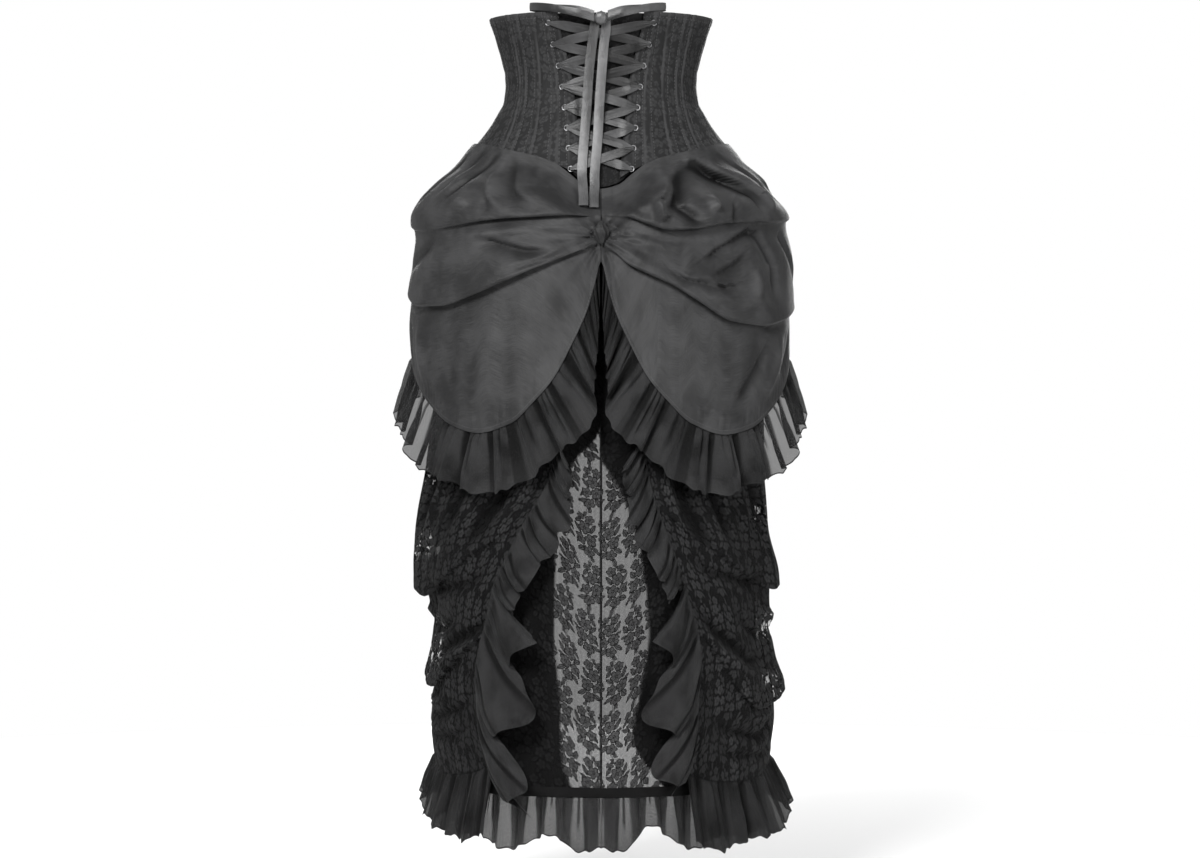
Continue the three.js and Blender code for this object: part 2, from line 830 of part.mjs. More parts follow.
// The ruffle hangs between straight down and square to the hem, and stays on its side of the
// centre back.
function overskirtRuffle(carrier, side, material) {
  const hem = hemStrip(carrier, "inner");
  const widest = 84;
  const hang = (at, s, out, edge) => {
    const along = hem(at + 0.5).edge.sub(hem(Math.max(at - 0.5, 0)).edge).normalize();
    const square = along.cross(out).normalize();
    if (square.z > 0) square.negate();
    const share = 0.6 * (1 - smooth((s - 0.6) / 0.3));
    const way = straightDown.clone().lerp(square, share).normalize();
    const room = Math.max(Math.abs(edge.x) - 1.2, 0) / widest;
    way.x = side * Math.max(side * way.x, -room);
    return way;
  };
  const geometry = ruffle({
    strip: insideHem(carrier, 0.55, overskirtEnd - sideSeamGap, (at) => side * at, hang),
    waves: 16,
    width: (s) => 80 - 4 * Math.cos(s * 9),
    wave: 7,
    flare: (s) => 0.09 + 0.18 * smooth((s - 0.35) / 0.4),
  });
  return meshOf(`overskirt_ruffle_${sideName[side]}`, geometry, material);
}

function overskirtFrontRuffle(carrier, material) {
  const geometry = ruffle({
    strip: insideHem(
      carrier,
      overskirtEnd + sideSeamGap,
      360 - overskirtEnd - sideSeamGap,
      (at) => at,
      () => straightDown,
    ),
    waves: 10,
    width: () => 80,
    wave: 7,
    flare: () => 0.16,
    rows: [0, 0, 1],
  });
  return meshOf("overskirt_ruffle_front", geometry, material);
}

// The gathered knot of cloth between the two swags at the centre back.
function gatherKnot(material) {
  const geometry = new THREE.SphereGeometry(1, 10, 7);
  geometry.scale(9, 5, 15);
  geometry.translate(0, -170.4, gatherHeight + 6);
  return meshOf("gather_knot", geometryFrom(solidOf(geometry)), material);
}

// The long lace skirt, with soft upright folds.
const laceHem = -903;
const laceFold = (angle, z) =>
  3 * smooth((-z - 250) / 300) * Math.sin(angle * 0.21 + 0.6) * Math.cos(angle * 0.075);
const lacePoint = (angle, z, out) =>
  onSkirt(laceRings, angle, z, out + laceFold(angle, z), out - underCorset, 55);

const laceShares = [0, 0.045, 0.1, 0.18, 0.35, 0.55, 0.78, 1];
function lacePanel(side, from, to, count) {
  const rowCount = laceShares.length + 1;
  return sheet({
    columns: columnsAt(steps(from, to, count)),
    rowCount,
    thickness: laceWall,
    point: ({ at }, row) => {
      const top = corsetLow("z", Math.abs(at)) + sewnOverlap;
      const z =
        row === rowCount - 1 ? laceHem : mix(top, laceHem + hemBandHeight, laceShares[row]);
      return lacePoint(side * at, z, 0);
    },
  });
}

const laceSeam = 46; // the angle of the seam between the back and side panels
const laceSeamGap = 0.1; // degrees on each side of a seam

// The band lies on the lace's last two rows.
function hemBand(carriers, side, material) {
  const strips = carriers.map((carrier) => ({
    carrier,
    strip: hemStrip(carrier, "outer"),
  }));
  const columns = carriers.flatMap((carrier) => carrier.columns);
  const { geometry } = sheet({
    columns,
    rowCount: 2,
    thickness: satinWall,
    point: ({ at }, row) => {
      const { strip } = strips[at > laceSeam ? 1 : 0];
      const { top, edge } = strip(at);
      const out = outwards(side * at).multiplyScalar(layGap + satinWall + 0.2);
      return row === 0 ? top.lerp(edge, 0.1).add(out) : edge.lerp(top, 0.1).add(out);
    },
  });
  return meshOf(`hem_band_${sideName[side]}`, geometry, material);
}

// How much shorter the ruffle is at the dip behind the calf, and at the side.
const hemDip = { [left]: 8, [right]: 20 };
const hemSide = { [left]: 20, [right]: 4 };
const hemRuffleStart = 0.2; // degrees from the centre back
function hemRuffle(carriers, side, material) {
  const [back, sides] = carriers.map((carrier) => hemStrip(carrier, "inner"));
  const geometry = ruffle({
    strip: (s) => {
      const at = mix(hemRuffleStart, skirtFrontEdge, s);
      const out = outwards(side * at);
      const { top, edge } = (at > laceSeam ? sides : back)(at);
      top.lerp(edge, 0.4).addScaledVector(out, -layGap - 0.3);
      edge.addScaledVector(out, -layGap - 0.3);
      return { top, edge, out, hang: straightDown };
    },
    waves: 15,
    width: (s) =>
      68 +
      4 * Math.sin(s * 31) -
      hemDip[side] * Math.exp(-(((s - 0.13) / 0.05) ** 2)) -
      hemSide[side] * smooth((s - 0.35) / 0.2),
    wave: 6,
    flare: () => 0.1,
    rows: [0, 0, 1],
  });
  return meshOf(`hem_ruffle_${sideName[side]}`, geometry, material);
}

// The looped-up lace drapes at each side of the long skirt.
const drapeTop = -214;
const drapeFold = (side, angle, z) =>
  3.5 *
  smooth((-z - 380) / 120) *
  (1 - 0.8 * smooth((-z - 790) / 70)) *
  Math.sin(angle * (side === left ? 0.17 : 0.195) + z * 0.012);
function drapePoint(side, angle, z, out) {
  const leave = smooth((drapeTop - z) / 60);
  const near = lacePoint(side * angle, z, out + laceWall + layGap + 0.5);
  return near.lerp(
    onRing(drapeRings[side], side * angle, z, out + drapeFold(side, angle, z)),
    leave,
  );
}

function drape(side) {
  const folds = drapeFolds[side];
  const columnOf = (across) =>
    tuckedColumn(
      drapeTop,
      [
        { fold: folds("fold1", across), deep: folds("deep1", across) },
        { fold: folds("fold2", across), deep: folds("deep2", across) },
      ],
      folds("hem", across),
      [5, 2, 1],
      2.5,
    );
  return sheet({
    columns: columnsAt([0, 0.08, 0.18, 0.29, 0.41, 0.53, 0.64, 0.75, 0.87, 1]),
    rowCount: columnOf(0).length,
    thickness: laceWall,
    point: ({ at }, row) => {
      const { z, out } = columnOf(at)[row];
      return drapePoint(side, mix(drapeEdge[side]("angle", z), skirtFrontEdge, at), z, out);
    },
  });
}

// A cascade runs down the drape's inner edge and fans over the lace towards the centre. Its
// free edge swings in and out with its waves. The angle is how far it reaches from its seam.
const cascades = {
  upper: { waves: 6, perWave: 4, wave: 6, out: 14, swing: 0.15, seat: 1.6 },
  lower: { waves: 3, perWave: 7, wave: 9, out: 16, swing: 0.5, seat: 2.1 },
};
const cascadeNames = ["along", "seam", "drop", "reach"];
const cascadeShapes = {
  upper: {
    [left]: table(cascadeNames, [[0, -446, 46, 5], [0.5, -546, 46, 9.5], [1, -640, 36, 8]]),
    [right]: table(cascadeNames, [[0, -446, 48, 8], [0.5, -536, 46, 8], [1, -626, 36, 6]]),
  },
  lower: {
    [left]: table(cascadeNames, [[0, -655, 40, 17], [0.5, -762, 46, 30], [1, -856, 68, 20]]),
    [right]: table(cascadeNames, [[0, -655, 40, 14], [0.5, -752, 46, 22], [1, -848, 46, 11]]),
  },
};
function cascade(side, part, material) {
  const { waves, perWave, wave, out, swing, seat } = cascades[part];
  const shape = cascadeShapes[part][side];
  const rows = [0, 0.18, 0.6, 1];
  const { geometry } = sheet({
    columns: columnsAt(steps(0, 1, waves * perWave)),
    rowCount: rows.length,
    thickness: ruffleWall,
    point: ({ at }, row) => {
      const t = rows[row];
      const seam = shape("seam", at);
      const edge = drapeEdge[side]("angle", seam) + 2.5;
      const phase = 2 * Math.PI * waves * at;
      const open = smooth(t * 1.2);
      const swung = 1 - swing * (0.5 - 0.5 * Math.cos(phase - 1));
      const angle = edge - shape("reach", at) * t * swung;
      const z = seam - shape("drop", at) * t;
      const stand = mix(ruffleWall + layGap + seat, out, smooth(t * 1.4));
      return drapePoint(side, angle, z, stand + wave * open * Math.cos(phase));
    },
  });
  return meshOf(`cascade_${part}_${sideName[side]}`, geometry, material);
}

// At the sides the drape's ruffle is shorter and stands out more.
const sideShort = { [left]: 27, [right]: 17 };
const sideFlare = { [left]: 0.34, [right]: 0.46 };
function drapeRuffle(carrier, side, material) {
  const geometry = ruffle({
    strip: insideHem(
      carrier,
      0.01,
      0.995,
      (at) => side * mix(drapeEdge[side]("angle", -870), skirtFrontEdge, at),
      () => straightDown,
    ),
    waves: 9,
    width: (s) => 88 - sideShort[side] * smooth((s - 0.25) / 0.2) + 3 * Math.sin(s * 17),
    wave: 7,
    flare: (s) => mix(0.24, sideFlare[side], smooth((s - 0.25) / 0.2)),
    rows: [0, 0, 1],
  });
  return meshOf(`drape_ruffle_${sideName[side]}`, geometry, material);
}

const cloth = (color, roughness) =>
  new THREE.MeshStandardMaterial({ color, roughness, metalness: 0 });
const brocade = cloth(0x2b2b2c, 0.65);
const taffeta = cloth(0x3a3a3b, 0.45);
const satinRibbon = cloth(0x6a6a6c, 0.3);
const chiffon = cloth(0x2e2e2f, 0.8);
const lace = cloth(0x1c1c1d, 0.85);
const net = cloth(0x202021, 0.85);
const binding = cloth(0x0d0d0e, 0.7);

const dress = new THREE.Group();
const frontSkirt = overskirtFront();
dress.add(
  corsetFront(brocade),
  modestyPanel(brocade),
  lacingRibbon(left, lowCrossing, satinRibbon),
  lacingRibbon(right, highCrossing, satinRibbon),
  bowKnot(satinRibbon),
  meshOf("overskirt_front", frontSkirt.geometry, taffeta),
  overskirtFrontRuffle(frontSkirt, chiffon),
  gatherKnot(taffeta),
);
for (const side of [left, right]) {
  const overskirt = overskirtBack(side);
  const laceBack = lacePanel(side, laceSeamGap, laceSeam - laceSeamGap, 6);
  const laceSide = lacePanel(side, laceSeam + laceSeamGap, skirtFrontEdge, 9);
  const loopedDrape = drape(side);
  dress.add(
    ...corsetPanels(side, brocade),
    bowLoop(side, satinRibbon),
    ribbonTail(side, satinRibbon),
    meshOf(`overskirt_${sideName[side]}`, overskirt.geometry, taffeta),
    overskirtRuffle(overskirt, side, chiffon),
    meshOf(`lace_back_${sideName[side]}`, laceBack.geometry, lace),
    meshOf(`lace_side_${sideName[side]}`, laceSide.geometry, lace),
    hemBand([laceBack, laceSide], side, binding),
    hemRuffle([laceBack, laceSide], side, net),
    meshOf(`drape_${sideName[side]}`, loopedDrape.geometry, lace),
    cascade(side, "upper", chiffon),
    cascade(side, "lower", chiffon),
    drapeRuffle(loopedDrape, side, net),
  );
}

export default dress;
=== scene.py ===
# A dark underbust corset dress, filled out as it is worn and seen from its laced back.
# Sizes are in millimetres until a mesh is made. Angles run round the body from the centre
# back, positive to +X. The cloth lies on the same surfaces as the part's solids.
import math

import bpy
import mathutils
import numpy as np
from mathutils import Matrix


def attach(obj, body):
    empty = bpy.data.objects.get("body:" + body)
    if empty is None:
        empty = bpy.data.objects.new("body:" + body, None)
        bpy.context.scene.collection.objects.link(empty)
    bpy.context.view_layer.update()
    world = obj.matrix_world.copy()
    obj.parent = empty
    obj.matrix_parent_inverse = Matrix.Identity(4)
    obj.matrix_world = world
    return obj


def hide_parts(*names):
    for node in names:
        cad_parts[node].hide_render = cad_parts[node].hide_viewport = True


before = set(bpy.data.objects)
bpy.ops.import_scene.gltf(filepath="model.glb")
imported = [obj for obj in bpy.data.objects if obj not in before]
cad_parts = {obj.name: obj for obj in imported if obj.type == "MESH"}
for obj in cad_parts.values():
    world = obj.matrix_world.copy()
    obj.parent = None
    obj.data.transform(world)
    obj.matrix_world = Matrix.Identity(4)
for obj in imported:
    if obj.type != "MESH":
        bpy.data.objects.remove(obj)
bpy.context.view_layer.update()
left = -1
right = 1
sideName = {left: "left", right: "right"}

viewpoint = {"distance": 4.0, "height": -0.447, "sideways": -0.0013, "lens": 92.3, "sensor": 36.0}


def placed(name, data):
    made = bpy.data.objects.new(name, data)
    bpy.context.scene.collection.objects.link(made)
    return made


def makeCamera(view):
    data = bpy.data.cameras.new("studioCamera")
    data.lens = view["lens"]
    data.sensor_width = view["sensor"]
    camera = placed("studioCamera", data)
    camera.location = (view["sideways"], -view["distance"], view["height"])
    camera.rotation_euler = (math.radians(90), 0, 0)
    bpy.context.scene.camera = camera


makeCamera(viewpoint)
print("camera placed")


# Curves and surfaces

def smooth(x):
    x = np.clip(x, 0, 1)
    return x * x * (3 - 2 * x)


def mix(a, b, share):
    return a + (b - a) * share


def gentle(steep):
    # slopes at inner rows that keep a curve from overshooting them
    before, after = steep[..., :-1], steep[..., 1:]
    turns = before * after <= 0
    return np.where(turns, 0, 2 * before * after / np.where(turns, 1, before + after))


def eased(low, high, slopeLow, slopeHigh, span, t):
    # a curve from low to high with the given slopes at its ends
    bend = slopeLow * span * t * (1 - t) ** 2 - slopeHigh * span * t * t * (1 - t)
    return mix(low, high, t * t * (3 - 2 * t)) + bend


def hump(distance, width):
    return np.exp(-((distance / width) ** 2))


def table(names, rows):
    # named columns, read anywhere between the rows along a smooth curve
    rows = np.array(rows, float)
    at = rows[:, 0]
    order = 1 if at[1] > at[0] else -1
    known = {}
    for name, column in zip(names[1:], rows.T[1:]):
        slope = np.zeros(len(at))
        slope[1:-1] = gentle(np.diff(column) / np.diff(at))
        known[name] = (column, slope)

    def read(name, x):
        column, slope = known[name]
        x = np.asarray(x, float)
        i = np.clip(np.searchsorted(order * at, order * x, side="right") - 1, 0, len(at) - 2)
        span = at[i + 1] - at[i]
        t = np.clip((x - at[i]) / span, 0, 1)
        return eased(column[i], column[i + 1], slope[i], slope[i + 1], span, t)

    return read


# Half the width of each section, and how far its back and front stand off the origin
ringNames = ["z", "half", "back", "front"]
corsetRings = table(ringNames, [
    [90, 145, 98, 106], [58, 137, 92, 101], [33, 129.5, 86, 96], [0, 124, 82, 92],
    [-20, 126.5, 83, 93], [-45, 138, 88, 98], [-71, 156, 96, 106], [-90, 172, 103, 113],
    [-120, 190, 110, 122], [-160, 206, 120, 130],
])
overskirtRings = table(ringNames, [
    [-70, 158, 100, 108], [-90, 177, 112, 118], [-111, 195, 128, 125], [-130, 213, 144, 130],
    [-150, 229, 158, 135], [-175, 239, 170, 139], [-210, 240, 182, 142], [-260, 242, 192, 145],
    [-320, 245, 198, 148], [-380, 243, 201, 150], [-460, 239, 203, 152],
])
laceRings = table(ringNames, [
    [-80, 156, 92, 106], [-120, 173, 106, 111], [-160, 185, 126, 115], [-210, 194, 148, 120],
    [-300, 196, 162, 124], [-450, 196, 170, 127], [-600, 197, 180, 129], [-780, 201, 192, 131],
    [-930, 208, 200, 133],
])
drapeRings = {
    left: table(ringNames, [
        [-210, 200, 152, 122], [-260, 208, 166, 130], [-400, 214, 179, 136],
        [-500, 219, 186, 138], [-570, 226, 192, 142], [-640, 224, 197, 144],
        [-700, 214, 201, 144], [-770, 215, 206, 146], [-825, 222, 208, 147],
        [-880, 216, 209, 146],
    ]),
    right: table(ringNames, [
        [-210, 200, 152, 122], [-260, 206, 166, 130], [-400, 208, 179, 136],
        [-500, 208, 186, 138], [-570, 208, 192, 140], [-640, 216, 197, 142],
        [-700, 216, 201, 143], [-770, 218, 206, 145], [-825, 222, 208, 146],
        [-880, 219, 209, 146],
    ]),
}
corsetLow = table(["angle", "z"], [
    [0, -152], [6, -147], [11, -134], [17, -120], [25, -110], [40, -100], [60, -90],
    [90, -85], [130, -88], [160, -102], [180, -114],
])
lacingGap = table(["z", "half"], [[90, 55], [0, 37], [-100, 26], [-155, 22]])
corsetSeams = table(["z", "back", "sideBack", "side", "front"], [
    [90, 36, 54, 98, 142], [0, 38, 56, 98, 142], [-90, 30, 46, 95, 142], [-150, 27, 44, 95, 142],
])

sewn = {"overlap": 8, "seamGap": 0.3, "layGap": 0.4, "facetRoom": 1.1, "corsetTop": 84}
wall = {"corset": 2, "satin": 1.5, "lace": 1.4, "ruffle": 1, "ribbon": 0.8}
bone = {"width": 7, "rise": 1}
overCorset = bone["rise"] + sewn["layGap"] + sewn["facetRoom"] + 1 + wall["satin"]
underCorset = wall["corset"] + sewn["layGap"] + sewn["facetRoom"]
skirtFrontEdge = 128  # the angle where the open front of the long skirt starts
overskirtEnd = 118  # the angle where the overskirt's back meets its front


def fromBack(angle):
    angle = np.abs(angle)
    return np.where(angle > 180, 360 - angle, angle)


def onRing(rings, angle, z, out=0.0):
    angle, z, out = np.broadcast_arrays(np.asarray(angle, float), z, out)
    turn = np.radians(angle)
    depth = np.where(np.cos(turn) > 0, rings("back", z), rings("front", z)) + out
    return np.stack([(rings("half", z) + out) * np.sin(turn), -depth * np.cos(turn), z], -1)


def onSkirt(rings, angle, z, out, corsetOut, reach):
    # it lies on the corset at its top and comes out to its own rings below
    leave = smooth((corsetLow("z", fromBack(angle)) - z) / reach)[..., None]
    return mix(onRing(corsetRings, angle, z, corsetOut), onRing(rings, angle, z, out), leave)


def outwards(angle):
    turn = np.radians(angle)
    return np.stack([np.sin(turn), -np.cos(turn), 0 * turn], -1)


def unit(v):
    return v / np.maximum(np.linalg.norm(v, axis=-1, keepdims=True), 1e-9)


def creased(angle, z, creases, layer=None):
    # The sum of soft ridges and troughs along given lines. Each row has how far out it
    # stands, how wide it is (or how wide above and below), how much of it is left at its two
    # ends, and the line's (angle, z). Rows are kept by the cloth's layer, None for every layer.
    radius, endShare = 215.0, 0.35
    u = np.radians(angle) * radius
    total = np.zeros(np.broadcast(u, z).shape)
    for rowLayer, rows in creases.items():
        for out, wide, (starts, ends), *line in rows:
            points = np.array([[math.radians(a) * radius, h] for a, h in line])
            above, below = wide if isinstance(wide, tuple) else (wide, wide)
            lengths = np.linalg.norm(np.diff(points, axis=0), axis=1)
            best = np.full(total.shape, 1e9)
            along = np.zeros(total.shape)
            upper = np.zeros(total.shape, bool)
            run = 0
            for p, q, length in zip(points, points[1:], lengths):
                d = (q - p) / length
                t = np.clip((u - p[0]) * d[0] + (z - p[1]) * d[1], 0, length)
                du, dz = u - p[0] - d[0] * t, z - p[1] - d[1] * t
                far = np.hypot(du, dz)
                nearer = far < best
                best = np.where(nearer, far, best)
                along = np.where(nearer, (run + t) / lengths.sum(), along)
                upper = np.where(nearer, dz > 0, upper)
                run += length
            taper = mix(starts, 1, smooth(along / endShare)) * mix(ends, 1, smooth((1 - along) / endShare))
            rise = out * taper * hump(best, np.where(upper, above, below))
            if layer is not None and rowLayer is not None:
                rise = rise * (np.abs(layer - rowLayer) < 0.5)
            total += rise
    return total


# Making meshes

def gridNormals(grid):
    across = np.gradient(grid, axis=0)
    down = np.gradient(grid, axis=1)
    normals = unit(np.cross(across, down))
    if (normals[..., :2] * grid[..., :2]).sum() < 0:
        normals = -normals
    return normals


def quadsOf(columns, rows, start=0, turned=False):
    i = np.arange(columns - 1)[:, None]
    j = np.arange(rows - 1)[None, :]
    a = start + i * rows + j
    corners = [a, a + rows, a + rows + 1, a + 1]
    if turned:
        corners.reverse()
    return np.stack([c.ravel() for c in corners], -1)


def shellOf(grid, thickness):
    # the closed surface between a grid of points and a copy of it one thickness behind
    columns, rows = grid.shape[:2]
    inner = grid - gridNormals(grid) * thickness
    points = np.concatenate([grid.reshape(-1, 3), inner.reshape(-1, 3)])
    count = columns * rows
    i, j = np.arange(columns), np.arange(rows)
    rim = np.concatenate([i * rows, (columns - 1) * rows + j[1:], i[-2::-1] * rows + rows - 1, j[-2:0:-1]])
    after = np.roll(rim, -1)
    rims = np.stack([rim, rim + count, after + count, after], -1)
    faces = np.concatenate([quadsOf(columns, rows), quadsOf(columns, rows, count, True), rims])
    a, b, c, d = (points[faces[:, k]] for k in range(4))
    volume = (np.einsum("ij,ij->i", a, np.cross(b, c)) + np.einsum("ij,ij->i", a, np.cross(c, d))).sum()
    if volume < 0:
        faces = faces[:, ::-1]
    return points, faces


def lengthsAlong(grid, axis):
    step = np.linalg.norm(np.diff(grid, axis=axis), axis=-1)
    zero = np.zeros_like(np.take(step, [0], axis=axis))
    return np.concatenate([zero, np.cumsum(step, axis=axis)], axis=axis)


def clothPlaces(grid, fullness=1.0):
    # each point's place on the flat cloth, in metres
    across = lengthsAlong(grid, 0)
    middle = across[:, grid.shape[1] // 2]
    u = np.repeat((middle * fullness)[:, None], grid.shape[1], axis=1)
    v = -lengthsAlong(grid, 1)
    return np.stack([u, v], -1) / 1000


def meshObject(name, points, faces, places=None, values=None, material=None, sharpAngle=50):
    mesh = bpy.data.meshes.new(name)
    faces = faces.tolist() if isinstance(faces, np.ndarray) else faces
    mesh.from_pydata((np.asarray(points) / 1000).tolist(), [], faces)
    if places is not None:
        corners = np.empty(len(mesh.loops), np.int32)
        mesh.loops.foreach_get("vertex_index", corners)
        layer = mesh.uv_layers.new(name="clothPlace")
        layer.data.foreach_set("uv", places[corners].astype(np.float32).ravel())
    for key, value in (values or {}).items():
        attribute = mesh.attributes.new(key, "FLOAT", "POINT")
        attribute.data.foreach_set("value", np.asarray(value, np.float32).ravel())
    mesh.polygons.foreach_set("use_smooth", [True] * len(mesh.polygons))
    mesh.set_sharp_from_angle(angle=math.radians(sharpAngle))
    if material is not None:
        mesh.materials.append(material)
    return placed(name, mesh)


flatSizes = {}


def claim(made, node):
    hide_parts(node)
    return made


def named(start, side, end=""):
    return f"{start}_{sideName[side]}{end}"


def areaOf(grid):
    # square metres, of both halves of each face
    a, b, c, d = grid[:-1, :-1], grid[1:, :-1], grid[1:, 1:], grid[:-1, 1:]
    halves = [np.linalg.norm(np.cross(p - a, q - a), axis=-1).sum() for p, q in ((b, c), (c, d))]
    return sum(halves) / 2e6


def clothPiece(node, fabric, grid, thickness, material, values=None, fullness=1.0, places=None):
    # one cloth of the dress, which stands for a node of the frame
    if places is None:
        places = clothPlaces(grid, fullness)
    places = np.tile(places.reshape(-1, 2), (2, 1))
    values = {k: np.tile(np.broadcast_to(v, grid.shape[:2]).ravel(), 2) for k, v in (values or {}).items()}
    points, faces = shellOf(grid, thickness)
    made = claim(meshObject(f"{node}_{fabric}", points, faces, places, values, material), node)
    width = lengthsAlong(grid, 0)[-1].max() / 1000
    length = lengthsAlong(grid, 1)[:, -1].max() / 1000
    flatSizes[made.name] = (round(width, 3), round(length, 3), round(areaOf(grid), 4))
    return made


def declareSheet(made):
    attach(made, "root")


# Materials

class Signal:
    # a shader node's output; reckoning with it adds math nodes to its tree
    def __init__(self, tree, socket):
        self.tree, self.socket = tree, socket

    def math(self, operation, *values, clamp=False):
        inputs = dict(enumerate(values))
        return signalOf(self.tree, "ShaderNodeMath", inputs, operation=operation, use_clamp=clamp)

    def of(self, operation):
        return self.math(operation, self)

    def most(self, other):
        return self.math("MAXIMUM", self, other)

    def ramp(self, low, high, outLow=0.0, outHigh=1.0):
        # a soft step from one value to another; low may be the greater
        inputs = {"Value": self, "From Min": low, "From Max": high, "To Min": outLow, "To Max": outHigh}
        return signalOf(self.tree, "ShaderNodeMapRange", inputs, "Result", interpolation_type="SMOOTHSTEP")

    def __abs__(self):
        return self.of("ABSOLUTE")

    def __add__(self, other):
        return self.math("ADD", self, other)

    def __sub__(self, other):
        return self.math("SUBTRACT", self, other)

    def __rsub__(self, other):
        return self.math("SUBTRACT", other, self)

    def __mul__(self, other):
        return self.math("MULTIPLY", self, other)

    def __truediv__(self, other):
        return self.math("DIVIDE", self, other)

    def __rtruediv__(self, other):
        return self.math("DIVIDE", other, self)

    def __pow__(self, other):
        return self.math("POWER", self, other)


def addNode(tree, kind, inputs=None, **settings):
    made = tree.nodes.new(kind)
    for key, value in settings.items():
        setattr(made, key, value)
    for socket, value in (inputs or {}).items():
        value = value.socket if isinstance(value, Signal) else value
        if isinstance(value, bpy.types.NodeSocket):
            tree.links.new(value, made.inputs[socket])
        else:
            made.inputs[socket].default_value = value
    return made


def signalOf(tree, kind, inputs=None, output=0, **settings):
    return Signal(tree, addNode(tree, kind, inputs, **settings).outputs[output])


def connect(signal, node, name):
    signal.tree.links.new(signal.socket, node.inputs[name])


def vectorStep(operation, vector, other=None, output=0):
    inputs = {0: vector}
    if other is not None:
        inputs["Scale" if operation == "SCALE" else 1] = other
    return signalOf(vector.tree, "ShaderNodeVectorMath", inputs, output, operation=operation)


def split(vector):
    made = addNode(vector.tree, "ShaderNodeSeparateXYZ", {0: vector})
    return [Signal(vector.tree, socket) for socket in made.outputs[:2]]


def combined(x, y):
    return signalOf(x.tree, "ShaderNodeCombineXYZ", {"X": x, "Y": y})


def noise(vector, scale, detail=2.0, rough=0.5, dimensions="2D", output="Fac"):
    inputs = {"Vector": vector, "Scale": scale, "Detail": detail, "Roughness": rough}
    return signalOf(vector.tree, "ShaderNodeTexNoise", inputs, output, noise_dimensions=dimensions)


def newGroup(name, inputs, outputs):
    # an input with no number is a vector
    group = bpy.data.node_groups.new(name, "ShaderNodeTree")
    for label, value in inputs.items():
        kind = "NodeSocketVector" if value is None else "NodeSocketFloat"
        socket = group.interface.new_socket(name=label, in_out="INPUT", socket_type=kind)
        if value is not None:
            socket.default_value = value
    for label in outputs:
        group.interface.new_socket(name=label, in_out="OUTPUT", socket_type="NodeSocketFloat")
    start = group.nodes.new("NodeGroupInput")
    end = group.nodes.new("NodeGroupOutput")
    return group, {label: Signal(group, start.outputs[label]) for label in inputs}, end


petal = {"count": 5, "notch": 0.62, "tip": 0.38, "round": 0.6, "soft": 0.04, "rim": (0.13, 0.06),
         "between": (0.24, 0.1), "eye": 0.22, "eyeLine": (0.09, 0.04)}
leaf = {"pointed": 1.5, "slim": 0.42, "edge": (1.08, 0.92), "rim": (0.32, 0.16), "vein": (0.55, 0.3)}


def makeFlowerShape():
    # one flower: petals with a line round them, between them and round the middle
    inputs = {"Place mm": None, "Centre": None, "Radius": 8.0, "Turn": 0.0}
    group, given, end = newGroup("flowerShape", inputs, ["Fill", "Line"])
    offset = vectorStep("SUBTRACT", given["Place mm"], given["Centre"])
    x, y = split(offset)
    radius = vectorStep("LENGTH", offset, output="Value") / given["Radius"]
    turn = y.math("ARCTAN2", y, x) + given["Turn"]
    wave = abs((turn * (petal["count"] / 2)).of("COSINE"))
    inside = wave ** petal["round"] * petal["tip"] + petal["notch"] - radius
    fill = inside.ramp(-petal["soft"], petal["soft"])
    between = wave.ramp(*petal["between"]) * fill
    ring = abs(radius - petal["eye"]).ramp(*petal["eyeLine"])
    connect(fill, end, "Fill")
    connect(abs(inside).ramp(*petal["rim"]).most(between.most(ring)), end, "Line")
    return group


def makeLeafShape():
    # one pointed leaf with a line round it and a vein
    inputs = {"Place mm": None, "Centre": None, "Length": 7.0, "Turn": 0.0}
    group, given, end = newGroup("leafShape", inputs, ["Fill", "Line"])
    offset = vectorStep("SUBTRACT", given["Place mm"], given["Centre"])
    turned = {"Vector": offset, "Angle": given["Turn"]}
    x, y = split(signalOf(group, "ShaderNodeVectorRotate", turned, rotation_type="Z_AXIS"))
    width = given["Length"] * leaf["slim"]
    oval = abs(x / given["Length"]) ** leaf["pointed"] + abs(y / width) ** leaf["pointed"]
    fill = oval.ramp(*leaf["edge"])
    connect(fill, end, "Fill")
    connect(abs(oval - 1.0).ramp(*leaf["rim"]).most(abs(y).ramp(*leaf["vein"]) * fill), end, "Line")
    return group


# A bouquet's flowers (x, y, radius, turn) and leaves (x, y, half length, turn), in millimetres
bouquet = {
    "flowers": [(1, 12, 9.5, 0.3), (-7, -5, 9, 1.1), (9, -7, 8, 2.0), (-6, 26, 7.5, 0.8),
                (0, -23, 8.5, 1.7), (9, 27, 5.5, 0.2)],
    "leaves": [(-12, 13, 7.5, 1.1), (12, 7, 7, -0.7), (12, 19, 6.5, 0.9), (-12, -19, 8, -0.9),
               (11, -21, 7.5, 0.6), (3, 35, 6, 1.5), (-3, -35, 6.5, 1.8), (-15, 3, 5, 0.2),
               (15, -12, 4.5, 1.2)],
    "wander": 2.8, "wanderScale": 0.3, "swing": 6.5, "halfTurn": 3.1416, "drop": 0.17,
    "stem": (0.8, 0.3), "stemBend": 3.0, "stemPace": 0.16, "stemShare": 0.7,
}


